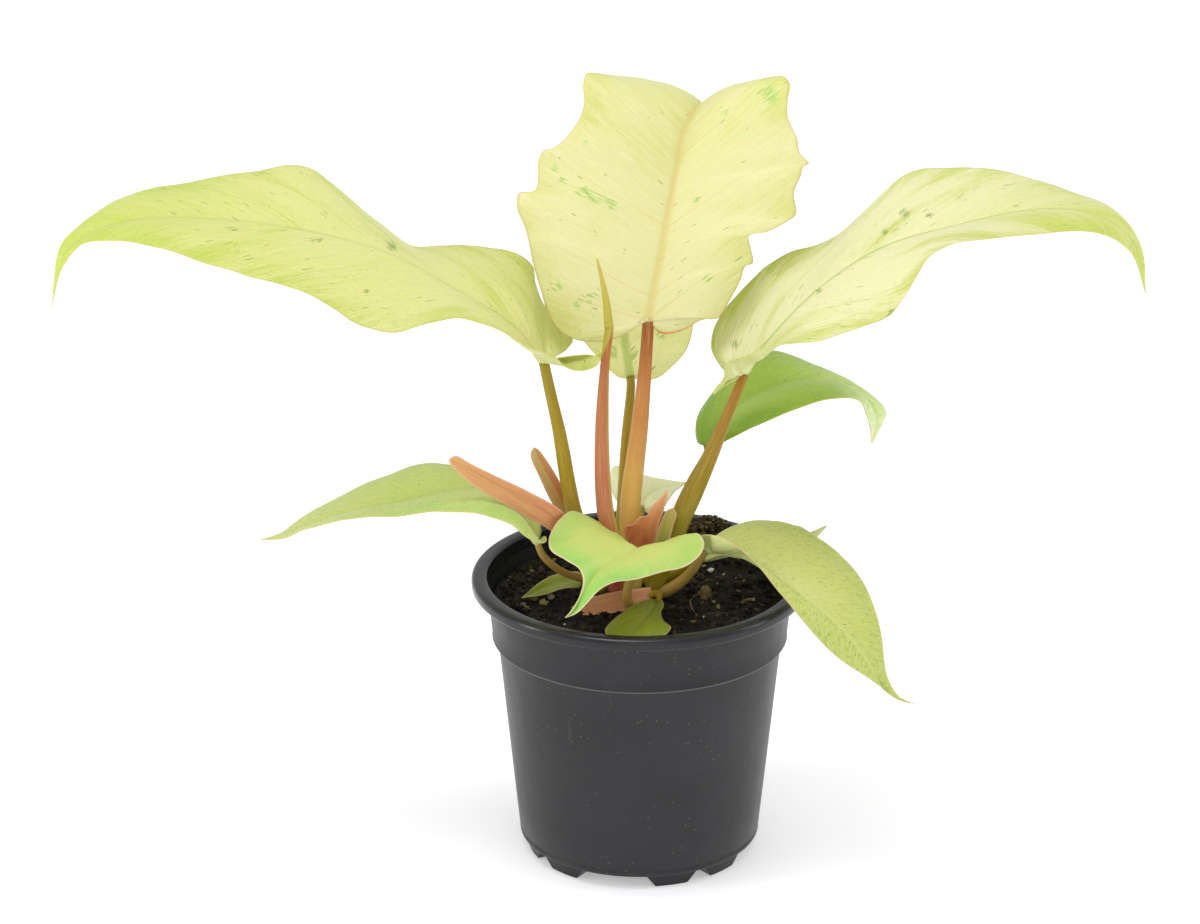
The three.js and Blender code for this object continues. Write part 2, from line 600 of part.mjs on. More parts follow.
// The young leaf, still rolled up tight, on its pink stalk
const YOUNG = {
  stalk: [[617, 590, -4], [614, 550, -8], [605, 507, -10], [602, 441, -9], [605, 366, -7], [609, 330, -6]],
  stalkRadii: [3.1, 3.1, 3, 2.7, 2.3, 1.7],
  roll: [[609, 327, -6], [606, 300, -5], [601, 275, -4], [597, 259, -4]],
  rollRadii: [1.6, 1.3, 0.8, 0.4],
};

// The papery sheaths that the leaves came out of, as thick channels
const SHEATHS = {
  sheath_left_long: {
    midrib: [[598, 566, -3], [556, 521, -14], [505, 490, -20], [450, 458, -24]],
    left: [[594, 572, -4], [552, 532, -15], [518, 512, -19], [492, 497, -22], [466, 480, -24],
      [449, 462, -24], [450, 458, -24]],
    right: [[602, 558, -3], [562, 511, -12], [530, 492, -17], [492, 474, -21], [470, 463, -23],
      [456, 456, -24], [450, 458, -24]],
    arch: [1.6, 1.6],
    colour: 'salmon',
  },
  sheath_left_short: {
    midrib: [[583, 532, 4], [561, 500, 3], [546, 472, 1.5], [534, 447, 0]],
    left: [[577, 534, 2], [554, 505, 1], [540, 477, 0], [531, 455, 0], [534, 447, 0]],
    right: [[588, 530, 5], [568, 497, 4], [553, 470, 3], [539, 450, 2], [534, 447, 0]],
    arch: [-1.5, -1.5],
    colour: 'salmon',
  },
  sheath_front_low: {
    midrib: [[652, 592, -8], [625, 596, -10], [598, 602, -12], [570, 608, -14]],
    left: [[653, 600, -12], [625, 610, -15], [600, 614, -16], [580, 614, -17], [570, 608, -14]],
    right: [[651, 587, -5], [625, 590, -7], [603, 594, -9], [583, 600, -11], [570, 608, -14]],
    arch: [-2.2, -2.2],
    colour: 'pink',
  },
  sheath_toothed: {
    midrib: [[640, 562, -3], [648, 534, -7], [657, 511, -9], [667, 490, -9]],
    left: [[632, 562, -3], [628, 545, -5], [625, 527, -6], [632, 525, -6.5], [639, 518, -7],
      [646, 517, -7.5], [652, 506, -8], [661, 497, -8.5], [667, 490, -9]],
    right: [[648, 562, -3], [651, 550, -4.5], [655, 539, -5.5], [658, 528, -6.5], [661, 519, -7],
      [664, 510, -8], [666, 502, -8.5], [668, 496, -9], [667, 490, -9]],
    arch: [-1, -1],
    split: 1,
    colour: 'pink',
  },
  sheath_right_pale: {
    midrib: [[659, 556, -5], [663, 540, -6], [668, 524, -6], [673, 508, -6]],
    left: [[653, 556, -5], [655, 540, -6], [660, 524, -6], [667, 511, -6], [673, 508, -6]],
    right: [[666, 556, -6], [669, 541, -7], [673, 526, -7], [676, 514, -7], [673, 508, -6]],
    arch: [-1.5, -1.5],
    colour: 'lime',
  },
};

function radiusPoint(radius, z) {
  return new THREE.Vector2(radius, z);
}

// A foot: a sector of a ring, narrower where it stands
function sector(inner, outer, bottom, top, middle, half) {
  const ring = [];
  const stops = FOOT_STOPS;
  for (let i = 0; i <= stops; i += 1) {
    ring.push([outer, -half + (2 * half * i) / stops]);
  }
  for (let i = stops; i >= 0; i -= 1) {
    ring.push([inner, -half + (2 * half * i) / stops]);
  }
  const level = (z, pull) => ring.map(([radius, degrees]) => {
    const narrowed = degrees * (1 - pull * FOOT_NARROWING);
    const reach = radius + pull * (radius === outer ? -FOOT_TAPER : FOOT_TAPER);
    const angle = THREE.MathUtils.degToRad(middle + narrowed);
    return new THREE.Vector3(reach * Math.sin(angle), -reach * Math.cos(angle), z);
  });
  const points = [...level(bottom, 1), ...level(top, 0)];
  const count = ring.length;
  const triangles = [];
  for (let i = 0; i < count; i += 1) {
    const next = (i + 1) % count;
    triangles.push([i, next, next + count], [i, next + count, i + count]);
  }
  for (let i = 0; i < stops; i += 1) {
    const [a, b] = [i, i + 1];
    const [c, d] = [count - 2 - i, count - 1 - i];
    triangles.push([a, c, b], [a, d, c]);
    triangles.push([a + count, b + count, c + count], [a + count, c + count, d + count]);
  }
  return toSolid(closedGeometry(points, triangles));
}

function upright(geometry) {
  return geometry.rotateX(Math.PI / 2);
}

function pot() {
  const wallRadius = (z) => THREE.MathUtils.mapLinear(z, BASE_Z, SHOULDER_Z, BASE_RADIUS, SHOULDER_RADIUS);
  const lipFoot = POT_HEIGHT - RIM_DROP;
  const floorTop = FLOOR_Z + FLOOR_THICKNESS;
  const outer = [
    radiusPoint(0, FLOOR_Z),
    radiusPoint(FOOT_OUTER_RADIUS, FLOOR_Z),
    radiusPoint(BASE_RADIUS - HEEL_ROUND.in, BASE_Z - HEEL_ROUND.drop),
    radiusPoint(BASE_RADIUS, BASE_Z),
    radiusPoint(wallRadius(HALF_HEIGHT), HALF_HEIGHT),
    radiusPoint(SHOULDER_RADIUS, SHOULDER_Z),
    radiusPoint(COLLAR_FOOT_RADIUS, COLLAR_FOOT_Z),
    radiusPoint(COLLAR_RADIUS, lipFoot - LIP_FILLET.depth),
    radiusPoint(COLLAR_RADIUS + LIP_FILLET.out, lipFoot - LIP_FILLET.drop),
    radiusPoint(RIM_RADIUS - LIP_THICKNESS, lipFoot),
    radiusPoint(RIM_RADIUS, lipFoot + LIP_FILLET.drop),
    radiusPoint(RIM_RADIUS, POT_HEIGHT - RIM_ROUND),
    radiusPoint(RIM_RADIUS - RIM_ROUND, POT_HEIGHT),
    radiusPoint(MOUTH_RADIUS + MOUTH_ROUND.out, POT_HEIGHT),
    radiusPoint(MOUTH_RADIUS, POT_HEIGHT - MOUTH_ROUND.drop),
    radiusPoint(COLLAR_RADIUS - WALL, lipFoot - LIP_FILLET.depth),
    radiusPoint(COLLAR_FOOT_RADIUS - WALL, COLLAR_FOOT_Z + LEDGE_THICKNESS),
    radiusPoint(SHOULDER_RADIUS - WALL, SHOULDER_Z + LEDGE_THICKNESS),
    radiusPoint(BASE_RADIUS - WALL, floorTop + INNER_HEEL),
    radiusPoint(BASE_RADIUS - WALL - INNER_HEEL, floorTop),
    radiusPoint(0, floorTop),
  ];
  let body = toSolid(upright(new THREE.LatheGeometry(outer, POT_SIDES)));
  for (let pair = 0; pair < PAIR_COUNT; pair += 1) {
    const middle = PAIR_FIRST + pair * PAIR_STEP;
    for (const side of [-1, 1]) {
      body = body.add(sector(FOOT_INNER_RADIUS, FOOT_OUTER_RADIUS - FOOT_SET_IN, 0, FLOOR_Z + FOOT_SINK,
        middle + side * FOOT_HALF_SPREAD, FOOT_HALF_WIDTH));
    }
    const drain = new THREE.CylinderGeometry(DRAIN_RADIUS, DRAIN_RADIUS, DRAIN_DEPTH, DRAIN_SIDES);
    const angle = THREE.MathUtils.degToRad(middle + PAIR_STEP / 2);
    upright(drain);
    drain.translate(DRAIN_CENTRE_RADIUS * Math.sin(angle), -DRAIN_CENTRE_RADIUS * Math.cos(angle), FLOOR_Z);
    body = body.subtract(toSolid(drain));
  }
  return body;
}

// The lie of the soil: heaped at the back right, crumbly all over
function soilTop(x, y) {
  const away = ((x - MOUND.x) ** 2 + (y - MOUND.y) ** 2) / (2 * MOUND.spread ** 2);
  const crumbs = Math.sin(x * 0.31 + 1.3 * Math.sin(y * 0.17)) * Math.cos(y * 0.27 + 0.9 * Math.sin(x * 0.21));
  return SOIL_LEVEL + MOUND.height * Math.exp(-away) + CRUMB_HEIGHT * crumbs;
}

function soil() {
  const bed = FLOOR_Z + FLOOR_THICKNESS;
  const heel = BASE_RADIUS - WALL - SOIL_GAP;
  const side = [
    radiusPoint(COLLAR_FOOT_RADIUS - WALL - SOIL_GAP, COLLAR_FOOT_Z + LEDGE_THICKNESS + SOIL_GAP),
    radiusPoint(SHOULDER_RADIUS - WALL - SOIL_GAP, SHOULDER_Z + LEDGE_THICKNESS + SOIL_GAP),
    radiusPoint(heel - SOIL_HEEL.in, bed + SOIL_HEEL.up),
    radiusPoint(heel - SOIL_HEEL.up, bed + SOIL_GAP),
    radiusPoint(0, bed + SOIL_GAP),
  ];
  const profile = [...SOIL_RINGS.map((radius) => radiusPoint(radius, SOIL_LEVEL)), ...side].reverse();
  const geometry = upright(new THREE.LatheGeometry(profile, SOIL_SIDES));
  const place = geometry.getAttribute('position');
  for (let i = 0; i < place.count; i += 1) {
    if (Math.abs(place.getZ(i) - SOIL_LEVEL) < 0.01) {
      place.setZ(i, soilTop(place.getX(i), place.getY(i)));
    }
  }
  return toSolid(geometry);
}

// A short stout stem with roots that spread down through the soil
function stemAndRoots(grow = 0) {
  const at = (dx, dy, z) => new THREE.Vector3(CROWN.x + dx, CROWN.y + dy, z);
  const stemPath = new THREE.CatmullRomCurve3(STEM_LEVELS.map((z) => at(0, 0, z)));
  let body = tube(stemPath, STEM_RADII, { sides: STEM_SIDES, steps: 5, grow });
  for (let i = 0; i < ROOT_COUNT; i += 1) {
    const turn = (i / ROOT_COUNT) * Math.PI * 2 + ROOT_FIRST_TURN;
    const reach = ROOT_REACH.middle + ROOT_REACH.change * Math.sin(i * ROOT_REACH.wave);
    const end = ROOT_END_Z.middle + ROOT_END_Z.change * Math.cos(i * ROOT_END_Z.wave);
    const step = (share, z) => at(Math.cos(turn + share * ROOT_TURN) * reach * share,
      Math.sin(turn + share * ROOT_TURN) * reach * share, z);
    const [high, middle, low] = ROOT_WAY;
    const path = new THREE.CatmullRomCurve3([at(0, 0, ROOT_TOP_Z - i), step(high.share, high.z - i),
      step(middle.share, middle.z), step(low.share, low.z), step(ROOT_OVERREACH, end)]);
    body = body.add(tube(path, [ROOT_RADIUS, ROOT_RADIUS, ROOT_TIP_RADIUS], { sides: 6, steps: 8, grow }));
  }
  return body;
}

const meshes = [];

function addMesh(name, solid, colour, roughness = 0.5) {
  const material = new THREE.MeshStandardMaterial({ color: COLOURS[colour], roughness, metalness: 0 });
  const mesh = new THREE.Mesh(withoutSlivers(toGeometry(solid)), material);
  mesh.name = name;
  meshes.push(mesh);
}

const rooted = stemAndRoots();
const rootedGrown = stemAndRoots(GAP);
const stemSpace = [rootedGrown];

// Stalks are set against the stem and against each other, in the order that they stand in front
const stalks = {};
const stalkGrown = {};
const ORDER = ['centre', 'left_large', 'right_large', 'back_upright', 'right_green', 'front', 'right_low',
  'left_low', 'back_low', 'right_small', 'soil_left', 'front_small'];

function setStalk(name, points, radii, top, sides = STALK_SIDES) {
  const path = curveThrough([...points, top]);
  const steps = Math.max(5, Math.round(path.getLength() / STALK_STEP));
  const taken = [...stemSpace, ...Object.values(stalkGrown)];
  const tapered = [...radii, radii[radii.length - 1] * STALK_TIP];
  stalks[name] = carved(tube(path, tapered, { sides, steps }), taken);
  stalkGrown[name] = tube(path, tapered, { sides, steps, grow: GAP });
}

setStalk('centre', CENTRE.stalk, CENTRE.stalkRadii, CENTRE.midrib[0], THICK_STALK_SIDES);
setStalk('young', YOUNG.stalk, YOUNG.stalkRadii, YOUNG.roll[0]);
for (const name of ORDER.slice(1)) {
  setStalk(name, LEAVES[name].stalk, LEAVES[name].stalkRadii, LEAVES[name].midrib[0]);
}

const roll = carved(tube(curveThrough(YOUNG.roll), YOUNG.rollRadii, { steps: 5, sides: ROLL_SIDES }), [stalkGrown.young]);

const sheathSolids = {};
const sheathGrown = [];
for (const [name, sheath] of Object.entries(SHEATHS)) {
  const shape = { split: 2, ...sheath, columns: SMALL_COLUMNS, thickness: SHEATH, keel: SHEATH_KEEL };
  const cut = carved(blade(shape), [...stemSpace, ...Object.values(stalkGrown), ...sheathGrown]);
  sheathSolids[name] = cut;
  sheathGrown.push(blade({ ...shape, thickness: SHEATH + GAP * 2 }));
}

const blades = {};
for (const name of Object.keys(LEAVES)) {
  blades[name] = carved(blade(LEAVES[name]), [...Object.values(stalkGrown), ...sheathGrown]);
}

const inSoil = [rootedGrown, ...Object.values(stalkGrown), ...sheathGrown];
addMesh('pot', pot(), 'pot', 0.55);
addMesh('soil', carved(soil(), inSoil), 'soil', 0.95);
addMesh('stem_and_roots', rooted, 'root', 0.8);
for (const [name, leaf] of Object.entries(LEAVES)) {
  addMesh(`stalk_${name}`, stalks[name], leaf.stalkColour);
  addMesh(`blade_${name}`, blades[name], leaf.colour, 0.45);
}
addMesh('stalk_young', stalks.young, 'pink');
addMesh('rolled_leaf', roll, 'pale');
for (const [name, sheath] of Object.entries(SHEATHS)) {
  addMesh(name, sheathSolids[name], sheath.colour);
}

const plant = new THREE.Group();
plant.position.set(POT_AXIS.x, POT_AXIS.y, 0);
plant.add(...meshes);
plant.updateMatrixWorld(true);

export default plant;
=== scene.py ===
import math
import random

import bpy
import numpy as np
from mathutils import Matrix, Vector, noise


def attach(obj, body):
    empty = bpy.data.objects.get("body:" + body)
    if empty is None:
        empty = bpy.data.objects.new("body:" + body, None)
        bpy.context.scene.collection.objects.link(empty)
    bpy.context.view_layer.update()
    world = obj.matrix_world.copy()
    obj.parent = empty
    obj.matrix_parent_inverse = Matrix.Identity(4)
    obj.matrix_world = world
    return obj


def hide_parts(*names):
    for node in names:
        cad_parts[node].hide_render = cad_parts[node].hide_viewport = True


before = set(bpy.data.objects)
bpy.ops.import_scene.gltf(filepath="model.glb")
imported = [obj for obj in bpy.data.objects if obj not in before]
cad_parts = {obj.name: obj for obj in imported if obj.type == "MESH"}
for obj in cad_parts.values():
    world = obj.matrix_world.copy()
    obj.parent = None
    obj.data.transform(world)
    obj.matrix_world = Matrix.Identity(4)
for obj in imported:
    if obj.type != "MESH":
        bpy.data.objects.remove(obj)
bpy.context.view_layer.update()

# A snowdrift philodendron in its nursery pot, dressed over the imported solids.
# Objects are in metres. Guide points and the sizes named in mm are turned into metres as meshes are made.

MM = 0.001

# The front view that the guide points are read in, the same as the solids' own
VIEW_DROP = math.radians(22)
VIEW_DISTANCE = 2000.0
VIEW_MIDDLE = (600, 462)
VIEW_TARGET = np.array([-14.2, 0.0, 147.0])
VIEW_STEP = 0.353
PICTURE_WIDTH = 1200
SENSOR_WIDTH = 36.0
POT_AXIS = np.array([14.5, -25.0, 0.0])

SIGHT = np.array([0.0, math.cos(VIEW_DROP), -math.sin(VIEW_DROP)])
RISE = np.array([0.0, math.sin(VIEW_DROP), math.cos(VIEW_DROP)])
EYE = VIEW_TARGET - SIGHT * VIEW_DISTANCE

# The pot, in mm
RIM_RADIUS = 60.0
POT_HEIGHT = 104.4
MOUTH_RADIUS = 54.2
RIM_DROP = 4.7
COLLAR_RADIUS = 53.7
COLLAR_FOOT_RADIUS = 52.4
COLLAR_FOOT_Z = 81.0
SHOULDER_RADIUS = 50.6
SHOULDER_Z = 80.2
BASE_RADIUS = 43.0
BASE_Z = 6.2
WALL = 1.3
LEDGE_THICKNESS = 1.0
FLOOR_THICKNESS = 1.6
FLOOR_Z = 4.8
FOOT_INNER_RADIUS = 32.0
FOOT_OUTER_RADIUS = 41.4
FOOT_TAPER = 1.2
FOOT_NARROWING = 0.38
PAIR_FIRST = -58
PAIR_STEP = 90
FOOT_HALF_SPREAD = 15.5
FOOT_HALF_WIDTH = 14.0
DRAIN_RADIUS = 4.0
DRAIN_CENTRE_RADIUS = 26.0
DRAIN_CUT = (1.0, 9.0)
DRAIN_SIDES = 32
POT_SIDES = 160

# Soil and stem, in mm, and the heap's spread in square mm
SOIL_LEVEL = 95.0
SOIL_RADIUS = 49.9
SOIL_GAP = 0.4
SOIL_FOOT_Z = 6.8
SOIL_RINGS = 90
SOIL_SIDES = 220
MOUND = {"x": 27.0, "y": 38.0, "height": 8.5, "spread": 13.0}
HEAP_HEIGHT = 5.5
HEAP_SPREAD = 120.0
CROWN = np.array([-4.0, 3.0, 98.0])
STEM_HEIGHTS = (68.0, 78.0, 88.0, 96.5)
STEM_RADII = (4.5, 6.5, 8.5, 9.5, 9.0)

# How many loose bits lie on the soil
CRUMB_COUNT = 1900
MOUND_CRUMB_COUNT = 700
STONE_COUNT = 26
BARK_COUNT = 85
MOSS_COUNT = 170
FIBRE_COUNT = 90

# Leaves, in mm
BLADE_THICKNESS = 0.45
KEEL_DEPTH = 1.5
KEEL_WIDTH = 1.1
STALK_TIP = 0.88
ROLL_LAP = 1.0
ROWS_PER_GUIDE = 8
HALF_COLUMNS = 18
NORMAL_REACH = 2
FULL_ARCH_WIDTH = 20
CURL_START = 0.04
CURL_END = 0.2
QUILT_DEPTH = 0.16
GUTTER_DEPTH = 0.35
GUTTER_WIDTH = 1.3
WAVE_HEIGHT = 0.7
VEIN_SPACING = 10.0
VEIN_LEAN = (0.9, 0.9)
VEIN_FORCES = (0.5, 0.9, 0.3, 0.7, 0.4)

# Lights as place, aim and size in metres and power in watts, and the floor
LIGHTS = {
    "light_top": ((-0.2, -0.2, 1.6), (0, 0, 0.15), (0.6, 0.6), 7),
    "light_left": ((-1.7, -0.42, 0.55), (0, 0, 0.10), (0.3, 1.05), 6.5),
    "light_right": ((1.7, -0.15, 0.8), (0, 0, 0.12), (0.4, 1.5), 4.5),
    "light_front": ((0.1, -2.4, 1.1), (0, 0, 0.15), (1.6, 1.0), 5.2),
}
SKY_STRENGTH = 0.75
VIEW_REACH = 50
FLOOR_HALF = 12.0
FLOOR_GLOW = 0.34


def seen(point):
    """The point that the front view shows at [column, row, back], back being mm behind the pot's axis."""
    column, row, back = point
    ray = SIGHT * VIEW_DISTANCE + RISE * ((VIEW_MIDDLE[1] - row) * VIEW_STEP)
    ray = ray + np.array([(column - VIEW_MIDDLE[0]) * VIEW_STEP, 0.0, 0.0])
    return EYE + ray * ((back - EYE[1]) / ray[1])


def seen_all(points):
    return np.array([seen(point) for point in points])


def in_view(points):
    """The columns and rows at which the front view shows points."""
    rays = points - EYE
    depth = rays @ SIGHT
    columns = VIEW_MIDDLE[0] + rays[:, 0] / depth * VIEW_DISTANCE / VIEW_STEP
    rows = VIEW_MIDDLE[1] - (rays @ RISE) / depth * VIEW_DISTANCE / VIEW_STEP
    return columns, rows


# Guide points are [column, row, back], as in the solids' source

LEFT_LARGE = {
    "stalk": [[601, 590, 1], [590, 557, 0], [574, 511, -1], [559, 430, 1], [551, 395, 3], [545, 367, 4]],
    "stalk_radii": [3.1, 3, 2.8, 2.6, 2.1],
    "midrib": [[544, 362, 4], [520, 331, 3], [497, 313, 2], [453, 287, 1], [387, 252, 0], [310, 231, -2],
               [234, 220, -3], [145, 218, -5], [92, 231, -7], [62, 258, -9], [51, 308, -10]],
    "left": [[550, 361, 2], [562, 358, -3], [577, 356, -6], [591, 355, -8], [600, 358, -11], [596, 366, -14],
             [587, 370, -15], [577, 371, -16], [566, 367, -17], [556, 359, -18], [544, 352, -19],
             [530, 347, -20], [516, 340, -21], [502, 331, -23], [480, 322, -26], [460, 318, -29],
             [430, 322, -34], [395, 332, -38], [360, 325, -40], [330, 307, -40], [300, 290, -40],
             [250, 277, -38], [163, 249, -30], [106, 240, -20], [80, 246, -14], [62, 268, -11],
             [51, 308, -10]],
    "right": [[550, 359, 5], [560, 353, 8], [568, 348, 11], [573, 341, 14], [570, 334, 17], [562, 327, 20],
              [553, 318, 24], [546, 309, 27], [541, 300, 29], [537, 289, 32], [534, 278, 34], [533, 267, 35],
              [523, 257, 37], [507, 250, 38], [488, 247, 38], [464, 246, 38], [438, 246, 38], [413, 245, 38],
              [372, 217, 38], [333, 183, 37], [306, 166, 36], [260, 170, 32], [180, 184, 24], [122, 196, 16],
              [80, 225, 2], [60, 246, -5], [51, 308, -10]],
    "fan": 9,
    "arch": [2, 1.5],
    "curl": [-3.5, 0],
}

CENTRE = {
    "stalk": [[631, 592, 2], [631, 545, 1], [630.5, 507, 1], [640, 424, 4], [645, 370, 7], [648, 328, 9]],
    "stalk_radii": [4, 3.9, 3.8, 3.4, 2.9, 2.3],
    "midrib": [[648, 321, 9], [655, 285, 17], [663, 244, 28], [669, 209, 37], [678, 162, 48], [684, 132, 56],
               [694, 111, 64], [701, 103, 73], [706, 106, 83], [709, 120, 94], [711, 140, 103]],
    "left": [[645, 321, 9], [639, 322, 8], [631, 331, 7], [614, 339, 5], [594, 342, 5], [573, 339, 6],
             [557, 329, 8], [547, 311, 10], [541, 291, 12], [533, 264, 16], [529, 244, 19], [525, 228, 23],
             [517, 208, 27], [519, 193, 31], [535, 190, 32], [538, 179, 34], [538, 162, 38], [543, 151, 40],
             [555, 147, 41], [568, 135, 43], [579, 119, 46], [584, 103, 49], [583, 85, 53], [586, 74, 56],
             [596, 73, 60], [619, 76, 73], [650, 85, 88], [683, 107, 99], [711, 140, 103]],
    "right": [[651, 321, 9], [655, 329, 8], [665, 334, 7], [684, 330, 7], [702, 320, 8], [718, 318, 9],
              [730, 300, 12], [741, 279, 15], [745, 267, 17], [753, 263, 18], [751, 248, 20], [749, 236, 22],
              [767, 232, 23], [786, 222, 25], [796, 214, 27], [794, 193, 31], [801, 175, 34], [803, 167, 36],
              [809, 163, 37], [800, 153, 39], [797, 138, 42], [788, 117, 46], [788, 101, 49], [790, 84, 53],
              [783, 76, 57], [768, 80, 70], [746, 88, 86], [725, 109, 98], [711, 140, 103]],
    "fan": 6,
    "arch": [2.5, 2.5],
}

RIGHT_LARGE = {
    "stalk": [[653, 592, -1], [664, 562, -2], [682, 520, -3], [696, 490, -3], [727, 416, -2],
              [741, 382, -1]],
    "stalk_radii": [3.3, 3.3, 3.2, 3, 2.7, 1.9],
    "midrib": [[744, 374, 0], [754, 357, 1], [767, 341, 1], [797, 308, 1], [826, 282, 1], [882, 247, 0],
               [949, 227, -1], [1037, 209, -3], [1095, 214, -5], [1132, 240, -7], [1146, 294, -8]],
    "left": [[738, 372, 4], [731, 375, 7], [724, 371, 10], [717, 362, 13], [712, 351, 16], [712, 340, 19],
             [714, 329, 22], [719, 318, 25], [727, 306, 27], [735, 296, 28], [743, 287, 30], [753, 277, 32],
             [767, 264, 33], [790, 252, 35], [817, 244, 36], [838, 235, 37], [864, 210, 38], [889, 188, 38],
             [904, 176, 38], [922, 168, 38], [945, 167, 36], [972, 168, 33], [1010, 172, 28],
             [1070, 190, 20], [1118, 212, 8], [1142, 248, -3], [1146, 294, -8]],
    "right": [[738, 379, -3], [728, 385, -7], [719, 391, -10], [713, 394, -13], [713, 389, -15],
              [720, 382, -17], [724, 376, -18], [725, 369, -19], [730, 361, -20], [741, 357, -21],
              [751, 353, -22], [762, 348, -23], [775, 344, -25], [797, 343, -28], [817, 341, -31],
              [842, 334, -34], [864, 326, -36], [888, 316, -38], [902, 300, -38], [917, 276, -37],
              [931, 254, -36], [955, 243, -35], [1005, 237, -33], [1060, 232, -28], [1100, 233, -19],
              [1132, 254, -11], [1146, 294, -8]],
    "fan": 9,
    "arch": [1.2, 1.5],
    "curl": [0, -4],
}

RIGHT_GREEN = {
    "stalk": [[646, 584, 8], [664, 548, 10], [680, 505, 14], [692, 480, 19], [708, 450, 26]],
    "stalk_radii": [2.1, 2, 1.9, 1.7, 1.5],
    "midrib": [[707, 446, 26], [722, 420, 28], [748, 398, 31], [785, 383, 34], [825, 382, 36],
               [856, 393, 38], [876, 414, 39], [872, 444, 39]],
    "left": [[704, 446, 28], [698, 443, 30], [695, 433, 33], [696, 420, 37], [701, 408, 41], [713, 391, 45],
             [738, 366, 50], [770, 350, 53], [810, 363, 53], [848, 382, 51], [873, 399, 47], [887, 411, 43],
             [882, 425, 41], [872, 444, 39]],
    "right": [[710, 447, 24], [715, 447, 22], [721, 444, 20], [732, 438, 17], [748, 430, 14], [772, 419, 12],
              [796, 409, 12], [820, 401, 13], [840, 398, 15], [852, 399, 19], [862, 404, 24], [867, 414, 29],
              [870, 430, 34], [872, 444, 39]],
    "fan": 4,
    "arch": [3, 3],
}

BACK_UPRIGHT = {
    "stalk": [[621, 582, 9], [620, 545, 12], [622, 507, 15], [626, 440, 20], [631, 384, 24]],
    "stalk_radii": [2.1, 2, 1.9, 1.8, 1.7],
    "midrib": [[630, 376, 24], [625, 340, 30], [620, 300, 42], [614, 268, 58], [609, 250, 76],
               [604, 250, 94], [600, 268, 110]],
    "left": [[628, 378, 23], [620, 377, 21], [609, 368, 21], [596, 355, 23], [585, 342, 26], [571, 318, 33],
             [561, 292, 43], [557, 268, 57], [563, 254, 73], [578, 252, 91], [600, 268, 110]],
    "right": [[634, 378, 23], [645, 380, 21], [658, 377, 21], [672, 366, 24], [686, 350, 28], [693, 326, 34],
              [691, 298, 44], [682, 273, 58], [666, 257, 75], [640, 254, 93], [600, 268, 110]],
    "fan": 3,
    "arch": [-2, -2],
}

BACK_LOW = {
    "stalk": [[632, 578, 9], [634, 555, 15], [637, 532, 25], [641, 514, 33]],
    "stalk_radii": [1.5, 1.4, 1.3, 1.2],
    "midrib": [[642, 508, 35], [647, 496, 41], [664, 487, 47], [688, 482, 50]],
    "left": [[640, 509, 36], [627, 509, 39], [614, 497, 43], [610, 480, 47], [613, 467, 50], [626, 467, 52],
             [647, 475, 53], [668, 480, 52], [688, 482, 50]],
    "right": [[644, 510, 34], [650, 514, 33], [657, 513, 33], [664, 507, 34], [669, 500, 37], [674, 493, 41],
              [679, 488, 45], [683, 485, 48], [688, 482, 50]],
    "fan": 3,
    "arch": [1.5, 1.5],
}

LEFT_LOW = {
    "stalk": [[605, 588, 0], [586, 580, -3], [565, 573, -7], [549, 562, -12], [541, 552, -15]],
    "stalk_radii": [1.5, 1.4, 1.3, 1.3, 1.3],
    "midrib": [[537, 541, -17], [519, 515, -12], [490, 490, -6], [458, 489, -4], [415, 500, -5],
               [368, 511, -7], [309, 527, -10], [259, 540, -12]],
    "left": [[540, 541, -17], [545, 536, -18], [546, 541, -21], [540, 543, -24], [528, 537, -27],
             [510, 524, -29], [476, 513, -30], [439, 512, -29], [392, 516, -27], [344, 520, -24],
             [309, 528, -19], [283, 538, -15], [259, 540, -12]],
    "right": [[540, 538, -13], [541, 530, -9], [535, 513, -4], [519, 495, 4], [495, 478, 10], [470, 468, 14],
              [448, 464, 15], [425, 464, 15], [392, 473, 13], [344, 494, 8], [303, 517, 0], [277, 535, -7],
              [259, 540, -12]],
    "fan": 3,
    "arch": [2, 2],
}

FRONT = {
    "stalk": [[634, 620, -16], [630, 608, -18], [627, 596, -20], [629, 584, -20], [635, 572, -19]],
    "stalk_radii": [1.9, 1.8, 1.7, 1.6, 1.5],
    "midrib": [[641, 557, -14], [638, 547, -20], [625, 556, -29], [605, 567, -36], [592, 580, -41],
               [583, 596, -45], [574, 611, -48], [565, 618, -49]],
    "left": [[643, 558, -13], [653, 554, -12], [668, 548, -13], [684, 540, -15], [697, 533, -18],
             [704, 541, -22], [700, 555, -28], [686, 566, -34], [665, 572, -38], [640, 578, -42],
             [615, 582, -45], [600, 590, -47], [588, 602, -49], [577, 613, -50], [565, 618, -49]],
    "right": [[638, 557, -13], [626, 549, -12], [608, 537, -11], [590, 521, -11], [573, 511, -12],
              [559, 520, -16], [549, 538, -22], [551, 551, -28], [566, 560, -33], [579, 568, -38],
              [583, 581, -42], [580, 594, -45], [575, 605, -48], [569, 614, -49.5], [565, 618, -49]],
    "fan": 4,
    "arch": [2, 2],
}

